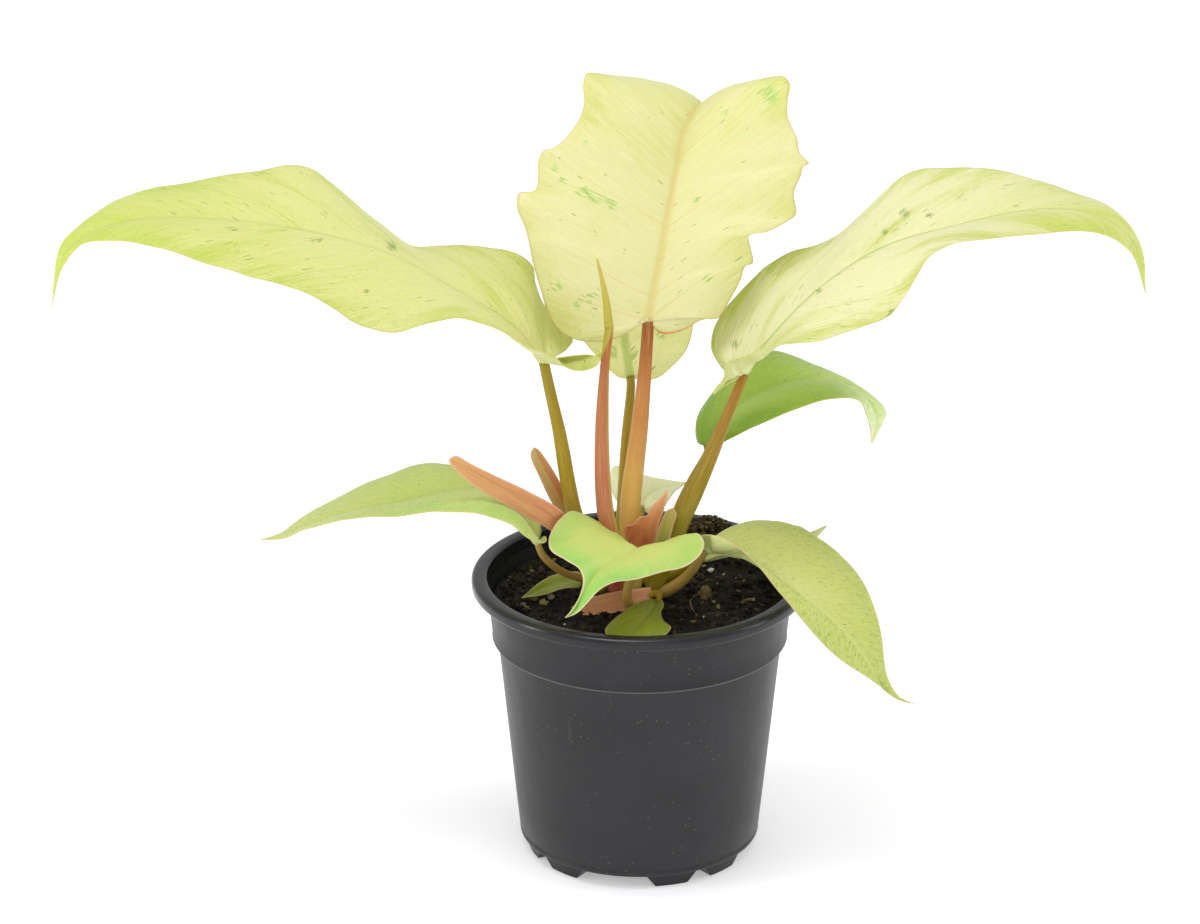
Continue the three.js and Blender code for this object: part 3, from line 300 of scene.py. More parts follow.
RIGHT_LOW = {
    "stalk": [[655, 594, -2], [668, 590, -4], [683, 580, -7], [694, 568, -10], [702, 556, -12]],
    "stalk_radii": [2.4, 2.3, 2, 1.7, 1.5],
    "midrib": [[707, 549, -13], [735, 551, -18], [762, 565, -24], [786, 583, -31], [813, 603, -38],
               [845, 632, -45], [868, 662, -50], [885, 690, -53], [917, 705, -55]],
    "left": [[709, 547, -11], [711, 542, -8], [716, 537, -5], [724, 531, -2], [736, 525, 0], [757, 520, 2],
             [780, 521, 1], [802, 528, -3], [822, 540, -9], [842, 556, -16], [860, 577, -25],
             [873, 603, -34], [881, 632, -42], [887, 674, -49], [899, 696, -53], [917, 705, -55]],
    "right": [[706, 552, -14], [701, 548, -15], [698, 542, -15.5], [700, 536, -16.5], [708, 535, -18],
              [720, 538, -20], [735, 545, -23], [750, 556, -27], [762, 570, -31], [778, 591, -35],
              [797, 614, -39], [822, 643, -44], [846, 664, -48], [872, 681, -51], [896, 699, -54],
              [917, 705, -55]],
    "fan": 4,
    "arch": [2, 2],
    "curl": [0, -3.5],
}

RIGHT_SMALL = {
    "stalk": [[649, 586, 5], [665, 578, 4], [684, 571, 2], [697, 564, 0]],
    "stalk_radii": [2.2, 2.1, 1.8, 1.3],
    "midrib": [[703, 558, -1], [745, 549, 3], [780, 539, 7], [810, 533, 10], [828, 525, 12]],
    "left": [[705, 555, 2], [708, 547, 5], [723, 540, 9], [748, 531, 12], [775, 526, 14], [798, 525, 14],
             [814, 533, 13], [828, 525, 12]],
    "right": [[705, 561, -3], [711, 559, -5], [722, 556, -6], [745, 558, -6], [775, 552, -1], [800, 544, 4],
              [816, 538, 10], [828, 525, 12]],
    "fan": 2,
    "arch": [1.5, 1.5],
}

SOIL_LEFT = {
    "stalk": [[610, 585, 9], [602, 581, 8.5], [594, 578, 6.5], [588, 577.5, 4]],
    "stalk_radii": [1.3, 1.2, 1.1, 1],
    "midrib": [[583, 579, 1], [562, 582, 0], [541, 589, -2], [521, 598, -6]],
    "left": [[583, 582, -1], [580, 587, -4], [563, 589, -6], [543, 594, -7], [521, 598, -6]],
    "right": [[583, 576, 2], [579, 572, 5], [561, 573, 5], [541, 581, 1], [521, 598, -6]],
    "fan": 1,
    "arch": [1.5, 1.5],
}

FRONT_SMALL = {
    "stalk": [[645, 600, -6], [653, 594, -10], [659, 594, -14]],
    "stalk_radii": [1.4, 1.3, 1.2],
    "midrib": [[658, 602, -19], [650, 612, -27], [638, 625, -36], [622, 640, -46]],
    "left": [[662, 600, -19], [664, 606, -23], [661, 613, -28], [664, 621, -33], [671, 628, -38],
             [664, 636, -43], [645, 641, -46], [622, 640, -46]],
    "right": [[655, 599, -17], [645, 600, -19], [632, 606, -23], [619, 614, -29], [609, 624, -35],
              [605, 632, -40], [610, 638, -44], [622, 640, -46]],
    "fan": 1,
    "arch": [2, 2],
}

YOUNG = {
    "stalk": [[617, 590, -4], [614, 550, -8], [605, 507, -10], [602, 441, -9], [605, 366, -7],
              [609, 330, -6]],
    "stalk_radii": [3.1, 3.1, 3, 2.7, 2.3, 1.7],
    "roll": [[609, 327, -6], [606, 300, -5], [601, 275, -4], [597, 259, -4]],
    "roll_radii": [1.6, 1.3, 0.8, 0.4],
}

SHEATHS = {
    "sheath_left_long": {
        "midrib": [[598, 566, -3], [556, 521, -14], [505, 490, -20], [450, 458, -24]],
        "left": [[594, 572, -4], [552, 532, -15], [518, 512, -19], [492, 497, -22], [466, 480, -24],
                 [449, 462, -24], [450, 458, -24]],
        "right": [[602, 558, -3], [562, 511, -12], [530, 492, -17], [492, 474, -21], [470, 463, -23],
                  [456, 456, -24], [450, 458, -24]],
        "arch": [1.6, 1.6],
    },
    "sheath_left_short": {
        "midrib": [[583, 532, 4], [561, 500, 3], [546, 472, 1.5], [534, 447, 0]],
        "left": [[577, 534, 2], [554, 505, 1], [540, 477, 0], [531, 455, 0], [534, 447, 0]],
        "right": [[588, 530, 5], [568, 497, 4], [553, 470, 3], [539, 450, 2], [534, 447, 0]],
        "arch": [-1.5, -1.5],
    },
    "sheath_front_low": {
        "midrib": [[652, 592, -8], [625, 596, -10], [598, 602, -12], [570, 608, -14]],
        "left": [[653, 600, -12], [625, 610, -15], [600, 614, -16], [580, 614, -17], [570, 608, -14]],
        "right": [[651, 587, -5], [625, 590, -7], [603, 594, -9], [583, 600, -11], [570, 608, -14]],
        "arch": [-2.2, -2.2],
    },
    "sheath_toothed": {
        "midrib": [[640, 562, -3], [648, 534, -7], [657, 511, -9], [667, 490, -9]],
        "left": [[632, 562, -3], [628, 545, -5], [625, 527, -6], [632, 525, -6.5], [639, 518, -7],
                 [646, 517, -7.5], [652, 506, -8], [661, 497, -8.5], [667, 490, -9]],
        "right": [[648, 562, -3], [651, 550, -4.5], [655, 539, -5.5], [658, 528, -6.5], [661, 519, -7],
                  [664, 510, -8], [666, 502, -8.5], [668, 496, -9], [667, 490, -9]],
        "arch": [-1, -1],
    },
    "sheath_right_pale": {
        "midrib": [[659, 556, -5], [663, 540, -6], [668, 524, -6], [673, 508, -6]],
        "left": [[653, 556, -5], [655, 540, -6], [660, 524, -6], [667, 511, -6], [673, 508, -6]],
        "right": [[666, 556, -6], [669, 541, -7], [673, 526, -7], [676, 514, -7], [673, 508, -6]],
        "arch": [-1.5, -1.5],
    },
}


# Curves

def curve_points(guides, places):
    """Points of a centripetal curve through guide points, at places counted in guide points."""
    ends = [2 * guides[0] - guides[1], 2 * guides[-1] - guides[-2]]
    padded = np.vstack([ends[0], guides, ends[1]])
    out = []
    for place in places:
        first = min(int(place), len(guides) - 2)
        w = place - first
        p0, p1, p2, p3 = padded[first:first + 4]
        d0, d1, d2 = [math.sqrt(np.linalg.norm(b - a)) for a, b in ((p0, p1), (p1, p2), (p2, p3))]
        start = ((p1 - p0) / d0 - (p2 - p0) / (d0 + d1) + (p2 - p1) / d1) * d1
        stop = ((p2 - p1) / d1 - (p3 - p1) / (d1 + d2) + (p3 - p2) / d2) * d1
        cubic = 2 * p1 - 2 * p2 + start + stop
        square = -3 * p1 + 3 * p2 - 2 * start - stop
        out.append(p1 + w * (start + w * (square + w * cubic)))
    return np.array(out)


def run_lengths(points):
    return np.concatenate([[0], np.cumsum(np.linalg.norm(np.diff(points, axis=0), axis=1))])


def along_curve(guides, shares, fine=400):
    """Points at shares of a curve's length, with the curve's direction there."""
    dense = curve_points(guides, np.linspace(0, len(guides) - 1, fine))
    lengths = run_lengths(dense)
    wanted = np.asarray(shares) * lengths[-1]
    points = np.stack([np.interp(wanted, lengths, dense[:, k]) for k in range(3)], axis=1)
    slopes = np.gradient(dense, axis=0)
    directions = np.stack([np.interp(wanted, lengths, slopes[:, k]) for k in range(3)], axis=1)
    return points, directions / np.linalg.norm(directions, axis=1, keepdims=True)


def smooth_step(low, high, value):
    t = np.clip((value - low) / (high - low), 0, 1)
    return t * t * (3 - 2 * t)


# Meshes

def make_piece(name, mesh, material, node):
    """An object that stands for a CAD node, or is added to it when node is None."""
    piece = bpy.data.objects.new(name, mesh)
    bpy.context.scene.collection.objects.link(piece)
    mesh.materials.append(material)
    mesh.polygons.foreach_set("use_smooth", [len(face.vertices) < 5 for face in mesh.polygons])
    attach(piece, "root")
    if node:
        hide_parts(node)
    return piece


def mesh_from(name, points_mm, faces):
    mesh = bpy.data.meshes.new(name)
    placed = (np.asarray(points_mm) + POT_AXIS) * MM
    mesh.from_pydata(placed.tolist(), [], faces)
    return mesh


def circle(radius, sides, z=0.0):
    """Points of a circle round the pot's axis."""
    angles = [2 * math.pi * k / sides for k in range(sides)]
    return [(radius * math.cos(angle), radius * math.sin(angle), z) for angle in angles]


def ring_faces(rings, sides):
    """The faces between rings of points that follow each other."""
    faces = []
    for a in range(0, (rings - 1) * sides, sides):
        b = a + sides
        for k in range(sides):
            n = (k + 1) % sides
            faces.append([a + k, a + n, b + n, b + k])
    return faces


def end_faces(rings, sides):
    """The two faces that close the first and the last ring."""
    last = (rings - 1) * sides
    return [list(reversed(range(sides))), [last + k for k in range(sides)]]


def pointed_faces(rings, sides):
    """The faces over rings of points that lie between one point before them and one after them."""
    faces = []
    last = 1 + rings * sides
    for k in range(sides):
        n = (k + 1) % sides
        faces.append([0, 1 + k, 1 + n])
        faces.append([last, last - sides + n, last - sides + k])
        for a in range(1, last - sides, sides):
            b = a + sides
            faces.append([a + k, b + k, b + n, a + n])
    return faces


def set_point_values(mesh, name, values):
    layer = mesh.attributes.new(name, "FLOAT", "POINT")
    layer.data.foreach_set("value", np.asarray(values, np.float32))


def set_corner_uv(mesh, name, corners):
    layer = mesh.uv_layers.new(name=name)
    layer.data.foreach_set("uv", np.asarray(corners, np.float32).ravel())


def row_reaches(left, right, fan):
    """How far along the midrib each row starts. Rows of the base lobes fan out from the stalk, below 0."""
    shares = []
    for side in (left, right):
        lengths = run_lengths(side)
        shares.append((lengths - lengths[fan]) / (lengths[-1] - lengths[fan]))
    return (shares[0] + shares[1]) / 2


def upper_normals(ribs, tangents, margin, side, reach):
    """The direction that the upper face looks in along one half of a blade."""
    across = margin - ribs
    across /= np.maximum(np.linalg.norm(across, axis=1, keepdims=True), 1e-9)
    normals = np.cross(tangents, across) * side
    sizes = np.linalg.norm(normals, axis=1)
    clear = normals[np.argmax(sizes > 0.6)]
    normals[sizes < 0.45] = clear
    normals /= np.linalg.norm(normals, axis=1, keepdims=True)
    padded = np.vstack([normals[:1]] * reach + [normals] + [normals[-1:]] * reach)
    total = sum(padded[k:k + len(normals)] for k in range(2 * reach + 1))
    return total / np.linalg.norm(total, axis=1, keepdims=True)


def column_shares(count):
    """Shares from midrib to margin, closer together at both."""
    even = np.linspace(0, 1, count + 1)
    return 0.5 * even + 0.5 * (0.5 - 0.5 * np.cos(math.pi * even))


def blade_grid(leaf, per_guide, half_columns):
    """The upper face as a grid from left margin over the midrib to right margin, with what shaders need."""
    guide_count = len(leaf["left"])
    places = np.linspace(0, guide_count - 1, (guide_count - 1) * per_guide + 1)
    left = curve_points(seen_all(leaf["left"]), places)
    right = curve_points(seen_all(leaf["right"]), places)
    reaches = row_reaches(left, right, leaf["fan"] * per_guide)
    starts = np.clip(reaches, 0, 1)
    ribs, tangents = along_curve(seen_all(leaf["midrib"]), starts)
    row_mm = reaches * run_lengths(ribs)[-1]
    shares = column_shares(half_columns)
    halves = []
    for half, margin in enumerate((left, right)):
        side = 1 if half == 0 else -1
        normals = upper_normals(ribs, tangents, margin, side, NORMAL_REACH * per_guide)
        widths = np.linalg.norm(margin - ribs, axis=1)
        curled = smooth_step(0, CURL_START, starts) * (1 - smooth_step(CURL_START, CURL_END, starts))
        swell = leaf["arch"][half] * np.minimum(1, widths / FULL_ARCH_WIDTH)
        swell = swell * (1 - leaf.get("flat_lobes", 0) * (1 - smooth_step(-0.1, 0.05, reaches)))
        swell = swell + leaf.get("curl", (0, 0))[half] * curled
        s = shares[None, :, None]
        points = ribs[:, None] * (1 - s) + margin[:, None] * s
        points = points + normals[:, None] * (swell[:, None, None] * 4 * s * (1 - s))
        rib_mm = widths[:, None] * shares[None, :]
        edge_mm = widths[:, None] * (1 - shares[None, :])
        vein_mm = row_mm[:, None] - leaf.get("lean", VEIN_LEAN)[half] * rib_mm
        halves.append({"points": points, "normals": normals, "rib": rib_mm, "edge": edge_mm, "vein": vein_mm,
                       "margin": run_lengths(margin), "shares": shares, "side": side})
    return places / places[-1], starts, halves


def vein_phase(leaf, half):
    """How many side veins lie between the base and a place."""
    return half["vein"] / leaf.get("spacing", VEIN_SPACING)


def vein_force(leaf, phase):
    """How strongly the nearest side vein shows, from the leaf's own list, which repeats."""
    forces = np.array(leaf.get("veins", VEIN_FORCES))
    return forces[np.round(phase).astype(int) % len(forces)]


def relief(leaf, rows, starts, half, seed):
    """How far the finer forms lift the upper face, in mm: veins, a gutter on the midrib and a waved edge."""
    shares = half["shares"][None, :]
    phase = vein_phase(leaf, half)
    body = smooth_step(0.02, 0.25, shares) * (1 - smooth_step(0.75, 1.0, shares))
    quilt = -leaf.get("quilt", QUILT_DEPTH) * np.cos(2 * math.pi * phase) * body
    quilt = quilt * smooth_step(2, 14, half["rib"] + half["edge"])
    gutter = -GUTTER_DEPTH * np.exp(-(half["rib"] / GUTTER_WIDTH) ** 2) * (1 - 0.7 * starts[:, None])
    wave = np.array([noise.noise(Vector((seed * 7.1 + half["side"] * 3.3, a * 0.085, 0.0)))
                     for a in half["margin"]])
    edge = leaf.get("wave", WAVE_HEIGHT) * wave[:, None] * smooth_step(0.6, 1.0, shares) ** 1.5
    ends = smooth_step(0.0, 0.06, rows)[:, None] * (1 - smooth_step(0.9, 1.0, rows))[:, None]
    return quilt + gutter * ends + edge * ends


def patch_cover(leaf, points):
    """How much each point lies in one of the leaf's green patches, given as [column, row, reach, squeeze]."""
    columns, rows = in_view(points)
    cover = np.zeros(len(points))
    for column, row, reach, squeeze in leaf.get("patches", []):
        away = np.hypot(columns - column, (rows - row) * squeeze)
        cover = np.maximum(cover, 1 - smooth_step(0.35 * reach, reach, away))
    return cover


def welded_faces(welded, place, row_count, width):
    """A grid's faces where its doubled points are one, with each point's normal and each face's edges."""
    faces = []
    normals = np.zeros_like(welded)
    edges = {}
    for i in range(row_count - 1):
        for j in range(width - 1):
            a = i * width + j
            kept = []
            for corner in (a, a + 1, a + width + 1, a + width):
                if all(place[corner] != place[other] for other in kept):
                    kept.append(corner)
            if len(kept) < 3:
                continue
            faces.append(kept)
            ids = [place[c] for c in kept]
            p = welded[ids]
            normal = np.cross(p[1] - p[0], p[2] - p[0]) + np.cross(p[2] - p[0], p[-1] - p[0])
            for k, index in enumerate(ids):
                normals[index] += normal
                edges[(index, ids[(k + 1) % len(ids)])] = (kept[k], kept[(k + 1) % len(kept)])
    return faces, normals / np.maximum(np.linalg.norm(normals, axis=1, keepdims=True), 1e-12), edges


def blade_piece(name, leaf, material, node, seed, thickness=BLADE_THICKNESS, keel=KEEL_DEPTH,
                per_guide=ROWS_PER_GUIDE, half_columns=HALF_COLUMNS):
    """A blade with an upper face, an under face set below it and a margin, and what its look needs."""
    rows, starts, halves = blade_grid(leaf, per_guide, half_columns)
    row_count = len(rows)
    width = 2 * half_columns + 1
    grids = {"point": [], "rib": [], "edge": [], "grain": [], "row": [], "phase": []}
    for half in halves:
        lift = relief(leaf, rows, starts, half, seed)
        points = half["points"] + half["normals"][:, None] * lift[:, :, None]
        turned = slice(None, None, -1) if half["side"] == 1 else slice(1, None)
        signed = half["rib"] * half["side"]
        grids["point"].append(points[:, turned])
        grids["rib"].append(half["rib"][:, turned])
        grids["edge"].append(half["edge"][:, turned])
        grids["grain"].append(np.stack([half["vein"], signed], axis=2)[:, turned] / 10)
        grids["phase"].append(vein_phase(leaf, half)[:, turned])
        grids["row"].append(np.broadcast_to(rows[:, None], half["rib"].shape)[:, turned])
    joined = {key: np.concatenate(value, axis=1) for key, value in grids.items()}
    points = joined["point"].reshape(-1, 3)

    _, first, place = np.unique(np.round(points, 3), axis=0, return_index=True, return_inverse=True)
    place = place.ravel()
    welded = points[first]
    faces, normals, edges = welded_faces(welded, place, row_count, width)
    rib, edge, phase, row = [joined[key].ravel()[first] for key in ("rib", "edge", "phase", "row")]
    row_start = np.repeat(starts, width)[first]
    thin = thickness * (0.55 + 0.45 * smooth_step(0, 1.2, edge))
    depth = thin + (keel * (1 - 0.75 * row_start) - thickness) * np.exp(-(rib / KEEL_WIDTH) ** 2)
    under = welded - normals * np.maximum(depth, 0.2)[:, None]
    count = len(welded)

    all_faces = []
    sources = []
    for face in faces:
        all_faces.append([int(place[c]) for c in face])
        sources.extend(face)
        all_faces.append([int(place[c]) + count for c in reversed(face)])
        sources.extend(reversed(face))
    for (a, b), (grid_a, grid_b) in edges.items():
        if (b, a) not in edges:
            all_faces.append([int(b), int(a), int(a) + count, int(b) + count])
            sources.extend([grid_b, grid_a, grid_a, grid_b])
    mesh = mesh_from(name, np.vstack([welded, under]), all_faces)
    set_corner_uv(mesh, "grain", joined["grain"].reshape(-1, 2)[sources])
    values = {"edge_mm": edge, "rib_mm": rib, "tipward": row_start, "patch": patch_cover(leaf, welded),
              "phase": phase, "vein_force": vein_force(leaf, phase), "row": row}
    for key, value in values.items():
        set_point_values(mesh, key, np.tile(value, 2))
    set_point_values(mesh, "under", np.repeat([0.0, 1.0], count))
    make_piece(name, mesh, material, node)


def tube_mesh(name, path, radii, sides=24, steps=60, section=None):
    """A round body along a path in mm, with a shaped section where one is given."""
    shares = np.linspace(0, 1, steps + 1)
    centres, directions = along_curve(path, shares)
    widths = np.interp(shares, np.linspace(0, 1, len(radii)), radii)
    lead = np.cross(directions[0], [0.0, 1.0, 0.0])
    lead /= np.linalg.norm(lead)
    points = []
    for i in range(steps + 1):
        lead = lead - directions[i] * np.dot(lead, directions[i])
        lead /= np.linalg.norm(lead)
        other = np.cross(directions[i], lead)
        for k in range(sides):
            angle = 2 * math.pi * k / sides
            reach = widths[i] * (section(angle, shares[i]) if section else 1)
            points.append(centres[i] + lead * math.cos(angle) * reach + other * math.sin(angle) * reach)
    corners = []
    for u0, u1 in zip(shares, shares[1:]):
        for k in range(sides):
            v0, v1 = k / sides, (k + 1) / sides
            corners.extend([(u0, v0), (u0, v1), (u1, v1), (u1, v0)])
    corners.extend([(0, k / sides) for k in reversed(range(sides))])
    corners.extend([(1, k / sides) for k in range(sides)])
    mesh = mesh_from(name, points, ring_faces(steps + 1, sides) + end_faces(steps + 1, sides))
    set_corner_uv(mesh, "stalk", corners)
    set_point_values(mesh, "along_mm", np.repeat(shares * run_lengths(centres)[-1], sides))
    return mesh


# Shader nodes

class Graph:
    """Small helpers that add shader nodes and link them."""

    def __init__(self, name):
        self.material = bpy.data.materials.new(name)
        self.material.use_nodes = True
        self.tree = self.material.node_tree
        self.shader = self.tree.nodes["Principled BSDF"]

    def add(self, kind, **settings):
        node = self.tree.nodes.new(kind)
        for key, value in settings.items():
            setattr(node, key, value)
        return node

    def put(self, socket, value):
        if isinstance(value, bpy.types.NodeSocket):
            self.tree.links.new(value, socket)
        else:
            socket.default_value = value

    def math(self, operation, a, b=0.0, c=0.0, clamp=False):
        node = self.add("ShaderNodeMath", operation=operation, use_clamp=clamp)
        for socket, value in zip(node.inputs, (a, b, c)):
            self.put(socket, value)
        return node.outputs[0]

    def value(self, name):
        return self.add("ShaderNodeAttribute", attribute_name=name).outputs["Fac"]

    def uv(self, name):
        split = self.add("ShaderNodeSeparateXYZ")
        self.put(split.inputs[0], self.add("ShaderNodeUVMap", uv_map=name).outputs[0])
        return split.outputs[0], split.outputs[1]

    def vector(self, x, y, z=0.0):
        node = self.add("ShaderNodeCombineXYZ")
        for socket, value in zip(node.inputs, (x, y, z)):
            self.put(socket, value)
        return node.outputs[0]

    def place(self, scale=(1, 1, 1)):
        node = self.add("ShaderNodeVectorMath", operation="MULTIPLY")
        self.put(node.inputs[0], self.add("ShaderNodeTexCoord").outputs["Object"])
        node.inputs[1].default_value = scale
        return node.outputs[0]

    def times(self, a, b):
        return self.math("MULTIPLY", a, b)

    def plus(self, a, b, clamp=False):
        return self.math("ADD", a, b, clamp=clamp)

    def swing(self, value, amount):
        """A share of 1, such as noise, turned into a swing about 0."""
        return self.math("MULTIPLY_ADD", value, amount, -0.5 * amount)

    def scaled(self, x, y, by_x, by_y, z=0.0):
        return self.vector(self.times(x, by_x), self.times(y, by_y), z)

    def noise(self, vector, scale, detail=2.0, rough=0.5):
        node = self.add("ShaderNodeTexNoise")
        self.put(node.inputs["Vector"], vector)
        node.inputs["Scale"].default_value = scale
        node.inputs["Detail"].default_value = detail
        node.inputs["Roughness"].default_value = rough
        return node.outputs["Fac"]

    def cells(self, vector, scale):
        node = self.add("ShaderNodeTexVoronoi")
        self.put(node.inputs["Vector"], vector)
        node.inputs["Scale"].default_value = scale
        return node.outputs["Distance"]

    def grain(self, across, out, fine, long, detail):
        """Noise in streaks along a leaf's veins, so many cells to the cm across and along them."""
        return self.noise(self.scaled(across, out, fine, long), 1.0, detail, 0.62)

    def bits(self, vector, radius, share):
        """Small marks of several sizes, in this share of the vector's unit cells."""
        node = self.add("ShaderNodeTexVoronoi", voronoi_dimensions="2D")
        self.put(node.inputs["Vector"], vector)
        node.inputs["Scale"].default_value = 1.0
        draws = self.add("ShaderNodeSeparateColor")
        self.put(draws.inputs[0], node.outputs["Color"])
        chosen = self.math("GREATER_THAN", self.plus(draws.outputs[0], share), 1.0)
        reach = self.math("MULTIPLY_ADD", draws.outputs[1], 1.3 * radius, 0.4 * radius)
        mark = self.step(node.outputs["Distance"], self.times(reach, 0.6), reach, 1.0, 0.0)
        return self.times(chosen, mark)

    def step(self, value, low, high, bottom=0.0, top=1.0):
        node = self.add("ShaderNodeMapRange", interpolation_type="SMOOTHSTEP")
        keys = ("Value", "From Min", "From Max", "To Min", "To Max")
        for key, item in zip(keys, (value, low, high, bottom, top)):
            self.put(node.inputs[key], item)
        return node.outputs[0]

    def mix(self, factor, a, b):
        node = self.add("ShaderNodeMix", data_type="RGBA")
        self.put(node.inputs[0], factor)
        for socket, value in ((node.inputs[6], a), (node.inputs[7], b)):
            self.put(socket, (*value, 1.0) if isinstance(value, tuple) and len(value) == 3 else value)
        return node.outputs[2]

    def bump(self, height, distance, strength):
        node = self.add("ShaderNodeBump")
        node.inputs["Strength"].default_value = strength
        node.inputs["Distance"].default_value = distance
        self.put(node.inputs["Height"], height)
        return node.outputs[0]

    def finish(self, colour, roughness, normal=None, specular=0.5, subsurface=0.0, glow_radius=None):
        shader = self.shader
        self.put(shader.inputs["Base Color"], (*colour, 1.0) if isinstance(colour, tuple) else colour)
        self.put(shader.inputs["Roughness"], roughness)
        shader.inputs["Specular IOR Level"].default_value = specular
        if subsurface:
            shader.inputs["Subsurface Weight"].default_value = subsurface
            shader.inputs["Subsurface Radius"].default_value = glow_radius
            shader.inputs["Subsurface Scale"].default_value = 1.0
        if normal is not None:
            self.put(shader.inputs["Normal"], normal)
        return self.material


# Leaf colours, linear
FLECK = (0.08, 0.18, 0.0)
PATCH = (0.37, 0.56, 0.14)
PEACH = (0.72, 0.45, 0.22)
NOTCH = (0.80, 0.16, 0.12)


def leaf_material(name, middle, outer, tip, flecks=1.0, stipple=0.5, streak=0.2, rib=(0.66, 0.60, 0.26),
                  rib_width=1.2, rib_strength=0.5, vein=(0.70, 0.52, 0.24), vein_strength=0.25, edge=PEACH,
                  edge_width=0.5, edge_strength=0.6, notch=0.0, mottle=0.5, patch_colour=PATCH,
                  under=(0.62, 0.66, 0.32), fleck_strength=0.95, foot=0.0, seed=0.0):
    """A leaf blade: its colour drifts from its midrib to its edge, tip and foot, crossed by fine veins."""
    g = Graph(name)
    across, out = g.uv("grain")
    across = g.plus(across, seed)
    edge_mm = g.value("edge_mm")
    rib_mm = g.value("rib_mm")
    tipward = g.value("tipward")
    phase = g.value("phase")
    cover = g.value("patch")
    broad = g.noise(g.vector(across, g.times(out, 0.6)), 0.5, 3.0)
    streaks = g.grain(across, out, 5.0, 0.7, 4.0)
    lines = g.grain(across, out, 13.0, 0.8, 3.0)
    grains = g.grain(across, out, 14.0, 14.0, 2.0)

    # Drift of the ground colour
    outward = g.step(edge_mm, 1.0, 15.0, 1.0, 0.0)
    outward_half = g.math("MULTIPLY_ADD", outward, 0.5, 0.5)
    drift = g.math("MULTIPLY_ADD", outward, 0.45, g.swing(broad, 2.4 * mottle))
    drift = g.plus(drift, g.step(tipward, 0.0, 0.3, foot, 0.0))
    drift = g.plus(drift, g.swing(streaks, 1.2 * mottle), clamp=True)
    colour = g.mix(g.step(drift, 0.0, 1.0), middle, outer)
    tip_drift = g.plus(tipward, g.swing(streaks, 0.5))
    tip_drift = g.plus(tip_drift, g.swing(broad, 0.4))
    colour = g.mix(g.step(tip_drift, 0.35, 1.0, 0.0, 0.85), colour, tip)
    pale = g.step(lines, 0.42, 0.72, 0.0, streak)
    colour = g.mix(pale, colour, g.mix(0.5, colour, (0.95, 0.95, 0.85)))
    spots = g.step(grains, 0.50, 0.66, 0.0, 0.3 * stipple)
    spots = g.times(spots, g.step(edge_mm, 0.0, 14.0, 1.0, 0.5))
    colour = g.mix(spots, colour, g.mix(0.45, colour, FLECK))
    dapple = g.grain(across, out, 6.5, 4.5, 3.0)
    dapples = g.times(g.step(dapple, 0.47, 0.66, 0.0, 0.4 * stipple), outward_half)
    colour = g.mix(dapples, colour, g.mix(0.3, colour, FLECK))

    # Ragged green patches where the leaf has them, short dark dashes along the veins and small dots
    torn = g.grain(across, out, 16.0, 1.7, 3.0)
    patch = g.math("MULTIPLY_ADD", cover, 0.22, torn)
    patch_body = g.times(g.step(patch, 0.66, 0.71, 0.0, 0.8), g.step(cover, 0.02, 0.2))
    colour = g.mix(patch_body, colour, patch_colour)
    patch_core = g.times(g.step(patch, 0.76, 0.82, 0.0, 0.3), g.step(cover, 0.1, 0.4))
    colour = g.mix(patch_core, colour, FLECK)
    dots = g.bits(g.scaled(across, out, 6.0, 5.0), 0.13, 0.12)
    crowd = g.step(broad, 0.42, 0.62)
    colour = g.mix(g.times(dots, g.times(crowd, 0.55 * stipple)), colour, FLECK)
    if flecks:
        worn = g.grain(across, out, 30.0, 12.0, 2.0)
        herd = g.noise(g.vector(across, out, 5.0), 1.1, 2.0)
        place = g.vector(g.math("MULTIPLY_ADD", worn, 0.15, g.times(across, 7.5)),
                         g.math("MULTIPLY_ADD", worn, 0.15, g.times(out, 1.4)))
        dashes = g.bits(place, 0.13, g.step(herd, 0.44, 0.66, 0.02, 0.16 * flecks))
        dashes = g.times(dashes, g.step(worn, 0.28, 0.45, 0.3, fleck_strength))
        colour = g.mix(dashes, colour, FLECK)

    # Side veins, midrib and edge
    from_vein = g.math("ABSOLUTE", g.math("SUBTRACT", g.math("FRACT", g.plus(phase, 0.5)), 0.5))
    vein_width = g.step(rib_mm, 0.0, 22.0, 0.07, 0.025)
    vein_line = g.step(from_vein, g.times(vein_width, 0.3), vein_width, 1.0, 0.0)
    vein_line = g.times(vein_line, g.times(g.value("vein_force"), vein_strength))
    vein_line = g.times(vein_line, g.step(edge_mm, 2.0, 16.0, 0.15, 1.0))
    colour = g.mix(vein_line, colour, vein)
    wide = g.times(rib_width, g.math("MULTIPLY_ADD", tipward, -0.6, 1.0))
    rib_band = g.step(rib_mm, g.times(wide, 0.3), wide, rib_strength, 0.0)
    colour = g.mix(rib_band, colour, rib)
    rim = g.step(edge_mm, edge_width * 0.35, edge_width, edge_strength, 0.0)
    colour = g.mix(rim, colour, edge)
    if notch:
        near_stalk = g.step(g.value("row"), 0.06, 0.15, notch, 0.0)
        near_stalk = g.times(near_stalk, g.step(edge_mm, 0.5, 1.4, 1.0, 0.0))
        colour = g.mix(near_stalk, colour, NOTCH)
    colour = g.mix(g.value("under"), colour, g.mix(0.45, colour, under))

    height = g.plus(g.times(lines, 0.8), g.times(grains, 0.25))
    height = g.plus(height, g.times(vein_line, -1.5))
    normal = g.bump(height, 0.00025, 0.4)
    rough = g.math("MULTIPLY_ADD", streaks, 0.14, 0.36)
    return g.finish(colour, rough, normal, specular=0.35, subsurface=0.2,
                    glow_radius=(0.0020, 0.0024, 0.0007))


